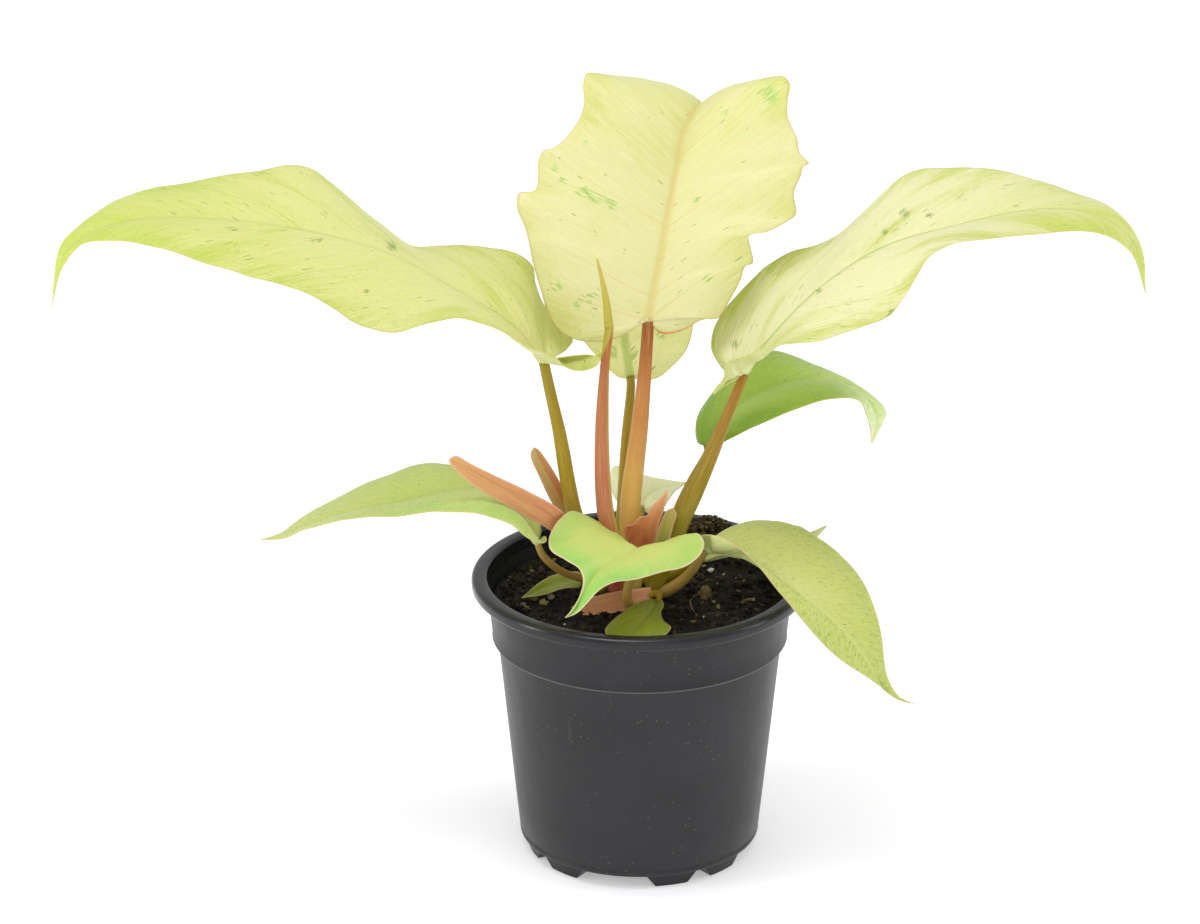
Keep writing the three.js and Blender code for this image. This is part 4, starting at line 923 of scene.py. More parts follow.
def stalk_material(name, colours, flecks=0.3, stripe=(0.75, 0.45, 0.2), stripe_amount=0.3, wrap=None):
    """A stalk whose colour changes from its foot to its top, with fine lines along it.

    A wrap is the colour of the rolled leaf, which runs down the stalk's right side and shows at its top left.
    """
    g = Graph(name)
    along, around = g.uv("stalk")
    length = g.value("along_mm")
    ramp = g.add("ShaderNodeValToRGB")
    ramp.color_ramp.interpolation = "B_SPLINE"
    while len(ramp.color_ramp.elements) < len(colours):
        ramp.color_ramp.elements.new(0.5)
    for i, (element, colour) in enumerate(zip(ramp.color_ramp.elements, colours)):
        element.position = i / (len(colours) - 1)
        element.color = (*colour, 1.0)
    drift = g.noise(g.place((300, 300, 300)), 0.25, 2.0)
    g.put(ramp.inputs[0], g.plus(along, g.swing(drift, 0.2)))
    around_x = g.math("COSINE", g.times(around, 2 * math.pi))
    around_y = g.math("SINE", g.times(around, 2 * math.pi))
    lines = g.noise(g.scaled(around_x, around_y, 3.5, 3.5, g.times(length, 0.035)), 2.2, 3.0, 0.6)
    specks = g.noise(g.scaled(around_x, around_y, 9.0, 9.0, g.times(length, 2.0)), 1.5, 2.0, 0.7)
    colour = ramp.outputs[0]
    if wrap:
        strip = g.step(around_x, -0.9, -0.6, 0.7, 0.0)
        top = g.step(g.math("MULTIPLY_ADD", around_x, 0.06, along), 0.925, 0.945)
        colour = g.mix(g.math("MAXIMUM", strip, top), colour, wrap)
    colour = g.mix(g.step(lines, 0.45, 0.7, 0.0, stripe_amount), colour, stripe)
    colour = g.mix(g.step(specks, 0.55, 0.72, 0.0, flecks), colour, (0.16, 0.09, 0.02))
    normal = g.bump(g.plus(lines, g.times(specks, 0.15)), 0.0004, 0.35)
    return g.finish(colour, g.math("MULTIPLY_ADD", specks, 0.15, 0.38), normal, specular=0.22,
                    subsurface=0.12, glow_radius=(0.003, 0.0015, 0.0005))


def sheath_material(name, body, tip, edge, left=None):
    """A sheath, with another colour on its left half where one is given."""
    g = Graph(name)
    across, along = g.uv("grain")
    edge_mm = g.value("edge_mm")
    tipward = g.value("tipward")
    lines = g.noise(g.scaled(along, across, 14.0, 0.9, 1.0), 1.0, 3.0, 0.6)
    grains = g.noise(g.vector(across, along, 3.0), 26.0, 2.0, 0.7)
    colour = g.mix(g.step(tipward, 0.3, 1.0), body, tip)
    if left:
        colour = g.mix(g.step(along, -0.04, 0.02), colour, left)
    colour = g.mix(g.step(lines, 0.46, 0.66, 0.0, 0.4), colour, (0.66, 0.46, 0.14))
    colour = g.mix(g.step(lines, 0.30, 0.42, 0.35, 0.0), colour, (0.52, 0.13, 0.07))
    colour = g.mix(g.step(grains, 0.55, 0.7, 0.0, 0.2), colour, (0.30, 0.10, 0.04))
    colour = g.mix(g.step(edge_mm, 0.2, 0.9, 0.6, 0.0), colour, edge)
    normal = g.bump(lines, 0.0003, 0.4)
    return g.finish(colour, 0.42, normal, specular=0.4, subsurface=0.2, glow_radius=(0.003, 0.0015, 0.0006))


def pot_material():
    g = Graph("pot_plastic")
    place = g.place()
    broad = g.noise(place, 35.0, 3.0)
    fine = g.noise(place, 900.0, 3.0, 0.6)
    scuff = g.noise(g.place((1, 1, 0.35)), 160.0, 4.0, 0.7)
    specks = g.cells(place, 420.0)
    crowd = g.noise(place, 60.0, 2.0)
    dust = g.times(g.step(specks, 0.05, 0.11, 1.0, 0.0), g.step(crowd, 0.46, 0.60))
    colour = g.mix(g.step(broad, 0.3, 0.75), (0.006, 0.0065, 0.0080), (0.012, 0.0125, 0.0150))
    colour = g.mix(g.step(scuff, 0.62, 0.8, 0.0, 0.3), colour, (0.10, 0.10, 0.10))
    colour = g.mix(g.times(dust, 0.55), colour, (0.30, 0.27, 0.22))
    parts = g.add("ShaderNodeSeparateXYZ")
    g.put(parts.inputs[0], place)
    height = parts.outputs[2]
    lip = g.step(height, (POT_HEIGHT - RIM_DROP - 1) * MM, (POT_HEIGHT - RIM_DROP) * MM)
    # The thin lighter band along the collar's foot is a painted highlight, where the ledge's bead catches the
    # light.
    from_edge = g.math("ABSOLUTE", g.math("SUBTRACT", height, (COLLAR_FOOT_Z + 0.1) * MM))
    painted_collar_highlight = g.step(from_edge, 0.2 * MM, 0.6 * MM, 0.5, 0.0)
    colour = g.mix(painted_collar_highlight, colour, (0.16, 0.16, 0.15))
    normal = g.bump(g.plus(fine, g.times(scuff, 0.5)), 0.00012, 0.25)
    rough = g.plus(g.math("MULTIPLY_ADD", scuff, 0.20, 0.30), g.times(dust, 0.3))
    rough = g.math("SUBTRACT", rough, g.times(lip, 0.16))
    return g.finish(colour, rough, normal, specular=0.42)


def soil_material():
    g = Graph("potting_soil")
    place = g.place()
    clods = g.noise(place, 220.0, 5.0, 0.65)
    fibres = g.noise(g.place((1, 0.3, 1)), 900.0, 3.0, 0.7)
    colour = g.mix(g.step(clods, 0.3, 0.7), (0.007, 0.0065, 0.006), (0.024, 0.021, 0.017))
    colour = g.mix(g.step(fibres, 0.62, 0.75, 0.0, 0.6), colour, (0.075, 0.050, 0.028))
    normal = g.bump(g.plus(clods, g.times(fibres, 0.4)), 0.0018, 0.9)
    return g.finish(colour, 0.88, normal, specular=0.25)


def tone_material(name, dark, light, roughness, scale=700.0, bump=0.0008):
    """A material whose colour goes from dark to light by each bit's own tone."""
    g = Graph(name)
    tone = g.value("tone")
    place = g.place()
    mottle = g.noise(place, scale, 4.0, 0.65)
    level = g.plus(tone, g.swing(mottle, 0.5), clamp=True)
    colour = g.mix(level, dark, light)
    return g.finish(colour, roughness, g.bump(mottle, bump, 0.8), specular=0.3)


# The pot

def pot_profile():
    """Radius and height up the outside and down the inside, with the lip's and shoulder's rounds."""
    base, shoulder, mouth, rim = BASE_RADIUS, SHOULDER_RADIUS, MOUTH_RADIUS, RIM_RADIUS
    collar, collar_foot = COLLAR_RADIUS, COLLAR_FOOT_RADIUS
    foot_z = COLLAR_FOOT_Z
    lip_foot = POT_HEIGHT - RIM_DROP
    top = POT_HEIGHT
    floor_top = FLOOR_Z + FLOOR_THICKNESS

    def wall(z):
        return base + (shoulder - base) * (z - BASE_Z) / (SHOULDER_Z - BASE_Z)

    def bend(start, turn, stop, count):
        """A round corner from start to stop, pulled towards turn."""
        a, b, c = [np.array(p, float) for p in (start, turn, stop)]
        return [tuple((1 - w) ** 2 * a + 2 * w * (1 - w) * b + w * w * c) for w in np.linspace(0, 1, count)]

    wall_foot = (wall(BASE_Z + 1.8), BASE_Z + 1.8)
    ledge_in = (shoulder + 0.6, SHOULDER_Z + 0.15)
    ledge_out = (collar_foot - 0.5, foot_z - 0.25)
    outside = [(0.0, FLOOR_Z), (20.0, FLOOR_Z)]
    outside += bend((base - 1.4, FLOOR_Z), (base, FLOOR_Z), (base, BASE_Z), 5)
    outside += bend((base + 0.1, BASE_Z + 0.4), (base - 0.4, BASE_Z + 1.0), wall_foot, 4)
    outside += [(wall(z), z) for z in (20.0, 35.0, 50.0, 65.0, 75.0)]
    outside += bend((wall(SHOULDER_Z - 0.8), SHOULDER_Z - 0.8), (shoulder, SHOULDER_Z), ledge_in, 5)
    outside += bend(ledge_out, (collar_foot + 0.2, foot_z - 0.1), (collar_foot + 0.3, foot_z + 0.3), 5)
    outside += [(collar_foot + 0.3, foot_z + 0.5), (collar_foot + 0.08, foot_z + 0.9)]
    outside += [(collar - 0.35, lip_foot - 10.0), (collar, lip_foot - 4.0)]
    outside += bend((collar + 0.1, lip_foot - 2.0), (collar + 0.4, lip_foot), (collar + 2.4, lip_foot), 6)
    outside += bend((rim - 1.6, lip_foot), (rim, lip_foot), (rim, lip_foot + 1.5), 6)
    outside += bend((rim, top - 2.2), (rim, top), (rim - 2.4, top), 9)
    inside = bend((mouth + 1.9, top), (mouth, top), (mouth, top - 1.6), 6)
    inside += [(collar - WALL, lip_foot - 4.0), (collar_foot - WALL, foot_z + LEDGE_THICKNESS)]
    inside += [(shoulder - WALL, SHOULDER_Z + LEDGE_THICKNESS), (base - WALL, floor_top + 1.5)]
    inside += [(base - WALL - 1.5, floor_top), (0.0, floor_top)]
    return outside + inside


def turned(profile, sides):
    """Points and faces of a profile turned round the pot's axis. Its ends lie on the axis."""
    points = [(0.0, 0.0, profile[0][1])]
    for radius, z in profile[1:-1]:
        points += circle(radius, sides, z)
    points.append((0.0, 0.0, profile[-1][1]))
    faces = pointed_faces(len(profile) - 2, sides)
    return points, [face[:1] + face[:0:-1] for face in faces]


def foot_block(middle, half):
    """One foot: a ring segment that narrows downwards."""
    stops = 10
    outline = [(FOOT_OUTER_RADIUS, -half + 2 * half * i / stops) for i in range(stops + 1)]
    outline += [(FOOT_INNER_RADIUS, half - 2 * half * i / stops) for i in range(stops + 1)]
    levels = [(0.0, 1.1), (0.25, 1.0), (0.8, 0.88), (FLOOR_Z + 0.6, 0.0)]
    points = []
    for z, pull in levels:
        for radius, degrees in outline:
            inward = 1 if radius == FOOT_OUTER_RADIUS else -1
            reach = radius - inward * pull * FOOT_TAPER
            angle = math.radians(middle + degrees * (1 - pull * FOOT_NARROWING))
            points.append((reach * math.sin(angle), -reach * math.cos(angle), z))
    rings = len(levels), len(outline)
    return points, end_faces(*rings) + ring_faces(*rings)


def drain_block(middle):
    """The round body that is cut away for one drain hole."""
    angle = math.radians(middle)
    x, y = DRAIN_CENTRE_RADIUS * math.sin(angle), -DRAIN_CENTRE_RADIUS * math.cos(angle)
    points = [(x + p[0], y + p[1], z) for z in DRAIN_CUT for p in circle(DRAIN_RADIUS, DRAIN_SIDES)]
    return points, end_faces(2, DRAIN_SIDES) + ring_faces(2, DRAIN_SIDES)


def make_pot():
    points, faces = turned(pot_profile(), POT_SIDES)
    body = mesh_from("pot_body", points, faces)
    pot = make_piece("pot_body", body, pot_material(), "pot")
    cutters = []
    for pair in range(4):
        middle = PAIR_FIRST + pair * PAIR_STEP
        for side in (-1, 1):
            foot = mesh_from("foot", *foot_block(middle + side * FOOT_HALF_SPREAD, FOOT_HALF_WIDTH))
            cutters.append((bpy.data.objects.new("foot", foot), "UNION"))
        hole = mesh_from("hole", *drain_block(middle + PAIR_STEP / 2))
        cutters.append((bpy.data.objects.new("hole", hole), "DIFFERENCE"))
    for cutter, operation in cutters:
        bpy.context.scene.collection.objects.link(cutter)
        modifier = pot.modifiers.new("cut", "BOOLEAN")
        modifier.object = cutter
        modifier.operation = operation
        modifier.solver = "EXACT"
    bpy.context.view_layer.update()
    done = bpy.data.meshes.new_from_object(pot.evaluated_get(bpy.context.evaluated_depsgraph_get()))
    pot.modifiers.clear()
    pot.data = done
    for cutter, _ in cutters:
        bpy.data.objects.remove(cutter)
    for polygon in done.polygons:
        polygon.use_smooth = True
    done.set_sharp_from_angle(angle=math.radians(38))


# Soil

def soil_top(x, y):
    away = ((x - MOUND["x"]) ** 2 + (y - MOUND["y"]) ** 2) / (2 * MOUND["spread"] ** 2)
    crumbs = math.sin(x * 0.31 + 1.3 * math.sin(y * 0.17)) * math.cos(y * 0.27 + 0.9 * math.sin(x * 0.21))
    return SOIL_LEVEL + MOUND["height"] * math.exp(-away) + 0.7 * crumbs


def soil_surface(x, y):
    """The fine lie of the soil, over the solid's plain one."""
    place = Vector((x * 0.16, y * 0.16, 0.0))
    fine = Vector((x * 0.55, y * 0.55, 3.0))
    return soil_top(x, y) + 0.9 * noise.noise(place) + 0.7 * abs(noise.noise(fine))


def heap_height(x):
    """How high the loose bits are heaped along the mound, in mm."""
    return HEAP_HEIGHT * math.exp(-((x - MOUND["x"]) ** 2) / HEAP_SPREAD)


def make_soil():
    points = [(0.0, 0.0, soil_surface(0, 0))]
    for r in range(1, SOIL_RINGS + 1):
        ring = circle((SOIL_RADIUS + 2.0) * r / SOIL_RINGS, SOIL_SIDES)
        points += [(x, y, soil_surface(x, y)) for x, y, _ in ring]
    gap = WALL + SOIL_GAP
    profile = [(COLLAR_FOOT_RADIUS - gap, COLLAR_FOOT_Z + LEDGE_THICKNESS + SOIL_GAP),
               (SHOULDER_RADIUS - gap, SHOULDER_Z + LEDGE_THICKNESS + SOIL_GAP),
               (BASE_RADIUS - gap - 0.2, 8.2), (BASE_RADIUS - gap - 1.8, SOIL_FOOT_Z)]
    for radius, z in profile:
        points += circle(radius, SOIL_SIDES, z)
    points.append((0.0, 0.0, SOIL_FOOT_Z))
    mesh = mesh_from("soil_body", points, pointed_faces(SOIL_RINGS + len(profile), SOIL_SIDES))
    make_piece("soil_body", mesh, soil_material(), "soil")


def lump(draw, radius, stretch=(1, 1, 1), rough=0.35, rings=4, sides=7):
    """A small irregular lump as points and faces."""
    seed = Vector([draw.uniform(0, 99) for _ in range(3)])
    turn = draw.uniform(0, math.pi)
    turn_x, turn_y = math.cos(turn), math.sin(turn)
    points = []
    for r in range(rings + 1):
        lat = math.pi * r / rings
        for k in range(sides if 0 < r < rings else 1):
            lon = 2 * math.pi * k / sides
            d = Vector((math.sin(lat) * math.cos(lon), math.sin(lat) * math.sin(lon), math.cos(lat)))
            reach = radius * (1 + rough * 1.6 * noise.noise(d * 1.7 + seed))
            x, y, z = [d[k] * reach * stretch[k] for k in range(3)]
            points.append((x * turn_x - y * turn_y, x * turn_y + y * turn_x, z))
    return points, pointed_faces(rings - 1, sides)


def scatter(name, material, bits):
    """One piece from many bits, each (points, faces, place, tone)."""
    points = []
    faces = []
    tones = []
    for bit_points, bit_faces, place, tone in bits:
        start = len(points)
        points.extend([(p[0] + place[0], p[1] + place[1], p[2] + place[2]) for p in bit_points])
        faces.extend([[start + i for i in face] for face in bit_faces])
        tones.extend([tone] * len(bit_points))
    mesh = mesh_from(name, points, faces)
    set_point_values(mesh, "tone", tones)
    make_piece(name, mesh, material, None)


def on_soil(draw, reach=SOIL_RADIUS + 0.5):
    radius = reach * math.sqrt(draw.random())
    angle = draw.uniform(0, 2 * math.pi)
    x, y = radius * math.cos(angle), radius * math.sin(angle)
    return x, y, soil_surface(x, y)


def make_crumbs():
    """Crumbs of peat all over the soil, and more of them heaped along the mound."""
    draw = random.Random(41)
    bits = []
    for _ in range(CRUMB_COUNT):
        x, y, z = on_soil(draw)
        radius = 0.35 + 1.1 * draw.random() ** 3
        stretch = (draw.uniform(0.8, 1.7), draw.uniform(0.7, 1.1), draw.uniform(0.6, 1.0))
        points, faces = lump(draw, radius, stretch, 0.45)
        bits.append((points, faces, (x, y, z + radius * 0.25), 0.55 * draw.random() ** 2))
    for _ in range(MOUND_CRUMB_COUNT):
        radius = 0.4 + 1.2 * draw.random() ** 2
        x = draw.gauss(MOUND["x"] - 3, 9)
        y = draw.gauss(MOUND["y"] + 5, 5)
        if math.hypot(x, y) > SOIL_RADIUS + 1:
            continue
        stretch = (draw.uniform(0.8, 1.9), draw.uniform(0.6, 1.1), draw.uniform(0.6, 1.2))
        points, faces = lump(draw, radius, stretch, 0.5)
        place = (x, y, soil_surface(x, y) + heap_height(x) * draw.random())
        bits.append((points, faces, place, 0.25 + 0.75 * draw.random()))
    material = tone_material("soil_crumbs", (0.007, 0.005, 0.004), (0.11, 0.075, 0.04), 0.9)
    scatter("soil_crumbs", material, bits)


def make_grains():
    """White and pale stones of the mix, a few of them large."""
    draw = random.Random(7)
    bits = []
    for _ in range(STONE_COUNT):
        x, y, z = on_soil(draw)
        radius = 0.25 + 0.4 * draw.random() ** 2
        points, faces = lump(draw, radius, rough=0.4)
        bits.append((points, faces, (x, y, z + radius * 0.5), draw.uniform(0.35, 1.0)))
    large = [((551, 598, -2), 1.3, 0.25), ((711, 559, 18), 1.1, 0.9), ((569, 563, 14), 1.5, 0.35),
             ((511, 533, 30), 0.8, 0.5), ((628, 632, -34), 0.6, 0.5)]
    for guide, radius, tone in large:
        x, y, _ = seen(guide)
        points, faces = lump(draw, radius, (1.2, 0.9, 0.8), 0.4, 7, 12)
        bits.append((points, faces, (x, y, soil_surface(x, y) + radius * 0.4), tone))
    material = tone_material("soil_grains", (0.30, 0.22, 0.12), (0.78, 0.76, 0.70), 0.75, 500.0, 0.0004)
    scatter("soil_grains", material, bits)


def make_bark():
    """Tan and greenish bits of bark and husk, and moss on the mound."""
    draw = random.Random(19)
    bits = []
    for _ in range(BARK_COUNT):
        x, y, z = on_soil(draw)
        radius = 0.5 + 0.8 * draw.random() ** 2
        stretch = (draw.uniform(1.2, 2.4), draw.uniform(0.6, 1.0), draw.uniform(0.35, 0.6))
        points, faces = lump(draw, radius, stretch, 0.5)
        bits.append((points, faces, (x, y, z + radius * 0.3), draw.uniform(0.1, 0.9)))
    chunks = [((705, 584, -2), 2.3, (0.75, 1.0, 1.25), 0.35), ((533, 603, -2), 1.9, (1.1, 0.9, 0.8), 0.6),
              ((544, 605, -6), 1.5, (1.0, 0.9, 0.9), 0.95), ((716, 517, 42), 1.6, (1.5, 0.7, 0.7), 0.8),
              ((741, 516, 44), 1.5, (0.8, 0.7, 1.6), 0.85), ((729, 519, 40), 1.4, (1.6, 0.6, 0.6), 0.7),
              ((718, 604, -8), 0.9, (1.2, 0.9, 0.9), 0.6)]
    for guide, radius, stretch, tone in chunks:
        x, y, _ = seen(guide)
        points, faces = lump(draw, radius, stretch, 0.45, 8, 12)
        bits.append((points, faces, (x, y, soil_surface(x, y) + radius * 0.6), tone))
    for _ in range(MOSS_COUNT):
        x = draw.gauss(MOUND["x"] + 2, 8)
        y = draw.gauss(MOUND["y"] + 6, 4)
        if math.hypot(x, y) > SOIL_RADIUS + 1:
            continue
        stretch = (draw.uniform(0.8, 2.0), draw.uniform(0.5, 0.9), draw.uniform(0.5, 1.0))
        points, faces = lump(draw, draw.uniform(0.35, 0.8), stretch, 0.5)
        place = (x, y, soil_surface(x, y) + heap_height(x) * draw.uniform(0.6, 1.05))
        bits.append((points, faces, place, draw.random()))
    material = tone_material("soil_bark", (0.06, 0.05, 0.015), (0.40, 0.29, 0.11), 0.8, 600.0, 0.0006)
    scatter("soil_bark", material, bits)


def make_fibres():
    """Thin root and peat fibres that lie over the soil."""
    draw = random.Random(23)
    bits = []
    for _ in range(FIBRE_COUNT):
        x, y, _ = on_soil(draw, SOIL_RADIUS - 3)
        heading = draw.uniform(0, 2 * math.pi)
        bend = draw.uniform(-0.5, 0.5)
        length = draw.uniform(3, 11)
        radius = draw.uniform(0.05, 0.15)
        count = 9
        centres = []
        for i in range(count):
            centres.append((x, y, soil_surface(x, y) + 0.35 + 0.5 * math.sin(math.pi * i / (count - 1))))
            x += math.cos(heading) * length / count
            y += math.sin(heading) * length / count
            heading += bend + draw.uniform(-0.3, 0.3)
        if math.hypot(x, y) > SOIL_RADIUS:
            continue
        bits.append((*thread(centres, radius), (0, 0, 0), draw.uniform(0.0, 1.0) ** 3))
    curl = [(698, 586, -1), (692, 594, -4), (690, 602, -8), (692, 610, -13), (697, 616, -18)]
    centres = []
    for guide in curl:
        x, y, _ = seen(guide)
        centres.append((x, y, soil_surface(x, y) + 0.8))
    bits.append((*thread(centres, 0.16), (0, 0, 0), 1.0))
    material = tone_material("soil_fibres", (0.035, 0.020, 0.010), (0.36, 0.26, 0.14), 0.7)
    scatter("soil_fibres", material, bits)


def thread(centres, radius, sides=5):
    """A thin fibre along its centres, finest at both ends."""
    points = []
    count = len(centres)
    for i, centre in enumerate(centres):
        a = Vector(centres[max(i - 1, 0)])
        b = Vector(centres[min(i + 1, count - 1)])
        direction = (b - a).normalized()
        lead = direction.orthogonal().normalized()
        other = direction.cross(lead)
        reach = radius * (0.5 + math.sin(math.pi * (0.15 + 0.7 * i / (count - 1))) * 0.5)
        for k in range(sides):
            angle = 2 * math.pi * k / sides
            p = Vector(centre) + lead * math.cos(angle) * reach + other * math.sin(angle) * reach
            points.append(tuple(p))
    return points, ring_faces(count, sides) + end_faces(count, sides)


# Camera, light and floor

def make_view():
    camera_data = bpy.data.cameras.new("camera")
    camera_data.sensor_fit = "HORIZONTAL"
    camera_data.sensor_width = SENSOR_WIDTH
    camera_data.lens = SENSOR_WIDTH * VIEW_DISTANCE / (PICTURE_WIDTH * VIEW_STEP)
    camera_data.clip_end = VIEW_REACH
    camera = bpy.data.objects.new("camera", camera_data)
    camera.location = (EYE + POT_AXIS) * MM
    camera.rotation_euler = (math.pi / 2 - VIEW_DROP, 0, 0)
    bpy.context.scene.collection.objects.link(camera)
    bpy.context.scene.camera = camera


def area_light(name, place, aim, size, power):
    data = bpy.data.lights.new(name, "AREA")
    data.shape = "RECTANGLE"
    data.size, data.size_y = size
    data.energy = power
    light = bpy.data.objects.new(name, data)
    light.location = place
    light.rotation_euler = (Vector(aim) - Vector(place)).to_track_quat("-Z", "Y").to_euler()
    bpy.context.scene.collection.objects.link(light)


def make_light():
    for name, (place, aim, size, power) in LIGHTS.items():
        area_light(name, place, aim, size, power)
    world = bpy.data.worlds.new("world")
    world.use_nodes = True
    sky = world.node_tree.nodes["Background"].inputs
    sky["Color"].default_value = (1, 1, 1, 1)
    sky["Strength"].default_value = SKY_STRENGTH
    bpy.context.scene.world = world
    bpy.context.scene.view_settings.view_transform = "Standard"


def make_floor():
    mesh = bpy.data.meshes.new("floor")
    corners = [(x * FLOOR_HALF, y * FLOOR_HALF, 0) for x, y in ((-1, -1), (1, -1), (1, 1), (-1, 1))]
    mesh.from_pydata(corners, [], [(0, 1, 2, 3)])
    floor = bpy.data.objects.new("floor", mesh)
    bpy.context.scene.collection.objects.link(floor)
    g = Graph("floor")
    g.shader.inputs["Emission Color"].default_value = (1, 1, 1, 1)
    g.shader.inputs["Emission Strength"].default_value = FLOOR_GLOW
    mesh.materials.append(g.finish((0.9, 0.9, 0.93), 0.8, specular=0.1))


# The plant

LEAF_LOOKS = {
    # This look's midrib band is a thin darker line, a painted shadow in the crease along the midrib.
    "pale_left": dict(middle=(0.66, 0.66, 0.25), outer=(0.48, 0.55, 0.08), tip=(0.48, 0.58, 0.075),
                      stipple=1.0, flecks=0.7, mottle=1.0, patch_colour=FLECK, rib=(0.52, 0.52, 0.14),
                      rib_width=0.8, edge_strength=0.35, vein_strength=0.12, seed=1.0),
    "pale_right": dict(middle=(0.75, 0.725, 0.42), outer=(0.50, 0.55, 0.09), tip=(0.53, 0.60, 0.095),
                       foot=0.4, stipple=1.0, flecks=1.2, mottle=1.1, patch_colour=FLECK,
                       rib=(0.38, 0.52, 0.11), rib_width=1.1, rib_strength=0.7, edge_strength=0.4,
                       vein_strength=0.12, seed=31.0),
    "cream": dict(middle=(0.72, 0.69, 0.34), outer=(0.59, 0.60, 0.155), tip=(0.57, 0.61, 0.15), flecks=0.6,
                  fleck_strength=0.6, stipple=0.35, streak=0.28, rib=(0.70, 0.58, 0.20), rib_width=2.6,
                  rib_strength=0.7, vein=(0.76, 0.54, 0.24), vein_strength=0.42, edge_width=0.8,
                  edge_strength=0.45, notch=0.9, mottle=0.8, seed=11.0),
    # This look, for the upright back leaf, has colours lifted well above the other pale leaves' as painted
    # light, making up for the shade cast on it by the leaves above; its green midrib stripe is its own.
    "pale_back_painted_light": dict(middle=(0.95, 0.95, 0.52), outer=(0.90, 0.93, 0.38), tip=(0.80, 0.86, 0.30), flecks=1.6,
                      rib=(0.46, 0.62, 0.14), rib_width=2.4, rib_strength=0.7, seed=51.0),
    # This look, for the low back leaf, has colours lifted near white as painted light, making up for the
    # shade cast on it by the leaves above.
    "mint_painted_light": dict(middle=(0.90, 0.91, 0.62), outer=(0.88, 0.90, 0.54), tip=(0.86, 0.89, 0.52), flecks=0.5,
                 stipple=0.3, rib=(0.84, 0.86, 0.52), seed=57.0),
    "lime": dict(middle=(0.56, 0.66, 0.17), outer=(0.18, 0.55, 0.09), tip=(0.25, 0.57, 0.11), flecks=0.0,
                 stipple=0.4, streak=0.06, mottle=0.3, rib=(0.62, 0.64, 0.18), vein_strength=0.1,
                 edge=(0.84, 0.62, 0.40), edge_width=0.8, edge_strength=0.8, seed=61.0),
    "lime_low": dict(middle=(0.58, 0.67, 0.23), outer=(0.44, 0.62, 0.17), tip=(0.68, 0.73, 0.31), flecks=0.0,
                     stipple=1.4, streak=0.08, mottle=0.8, rib=(0.62, 0.66, 0.26), vein_strength=0.1,
                     seed=71.0),
    "droop": dict(middle=(0.52, 0.55, 0.17), outer=(0.48, 0.54, 0.14), tip=(0.46, 0.53, 0.14), flecks=0.6,
                  stipple=2.2, streak=0.06, rib=(0.56, 0.60, 0.22), vein_strength=0.08, seed=81.0),
    # This look's pale tip colour is a painted sheen on the upper part of the green leaf.
    "green": dict(middle=(0.41, 0.57, 0.12), outer=(0.24, 0.40, 0.04), tip=(0.74, 0.83, 0.46), foot=0.7,
                  flecks=0.0, stipple=1.8, streak=0.06, rib=(0.5, 0.64, 0.20), vein_strength=0.1, seed=91.0),
    "deep": dict(middle=(0.29, 0.32, 0.02), outer=(0.18, 0.24, 0.008), tip=(0.18, 0.24, 0.008), flecks=0.3,
                 stipple=1.0, streak=0.08, rib=(0.3, 0.34, 0.06), vein_strength=0.1, seed=95.0),
}

# The finer form of each leaf: veins, waves, and its green patches as [column, row, reach, squeeze]
LEAF_FORMS = {
    "left_large": dict(lean=(1.2, 1.2), flat_lobes=0.9, patches=[
        [236, 229, 9, 2.5], [262, 174, 8, 2.5], [392, 246, 8, 1], [316, 240, 12, 4], [368, 291, 6, 1.5],
        [420, 296, 7, 2]]),
    "centre": dict(quilt=0.05, spacing=9.0, lean=(0.3, 0.5), veins=(1, 1, 0.25, 0.2, 1, 0.3, 0.3, 0.6),
                   wave=0.5, patches=[
        [583, 192, 12, 1.2], [598, 198, 12, 1.2], [613, 206, 12, 1.2], [555, 168, 8, 1], [563, 180, 8, 1.5],
        [590, 298, 12, 1.6], [577, 305, 10, 1.6], [557, 288, 7, 1], [586, 143, 6, 1], [770, 96, 13, 0.8],
        [724, 112, 8, 1.2], [708, 278, 7, 1], [697, 200, 8, 1.3], [747, 129, 9, 2.5]]),
    "right_large": dict(lean=(1.2, 1.5), patches=[
        [905, 213, 8, 1], [930, 216, 6, 1.5], [885, 232, 7, 1.5], [818, 291, 5, 1.2], [735, 345, 6, 1],
        [1014, 206, 6, 2.5], [960, 197, 7, 2.5], [893, 315, 9, 0.8]]),
    "back_upright": dict(patches=[
        [614, 352, 7, 0.6], [634, 354, 7, 0.6], [661, 335, 7, 1], [600, 356, 5, 1]]),
    "front": dict(quilt=0.03),
    "left_low": dict(quilt=0.08),
    "right_low": dict(quilt=0.06),
    "right_green": dict(quilt=0.08),
    "front_small": dict(quilt=0.08),
}

OLIVE = [(0.41, 0.33, 0.01), (0.40, 0.31, 0.01), (0.38, 0.26, 0.01), (0.30, 0.25, 0.01)]
OCHRE = [(0.32, 0.27, 0.01), (0.28, 0.24, 0.008), (0.30, 0.19, 0.008), (0.35, 0.16, 0.015)]
SALMON = [(0.98, 0.80, 0.18), (0.78, 0.54, 0.11), (0.62, 0.33, 0.08), (0.52, 0.19, 0.05), (0.28, 0.07, 0.01)]
PINK = [(0.43, 0.095, 0.06), (0.45, 0.12, 0.065), (0.50, 0.18, 0.08), (0.45, 0.15, 0.05), (0.42, 0.135, 0.03)]
LOW_OCHRE = [(0.42, 0.24, 0.05), (0.45, 0.30, 0.06), (0.42, 0.30, 0.07)]
SPEAR = [(0.47, 0.40, 0.05), (0.54, 0.48, 0.07), (0.62, 0.50, 0.12)]

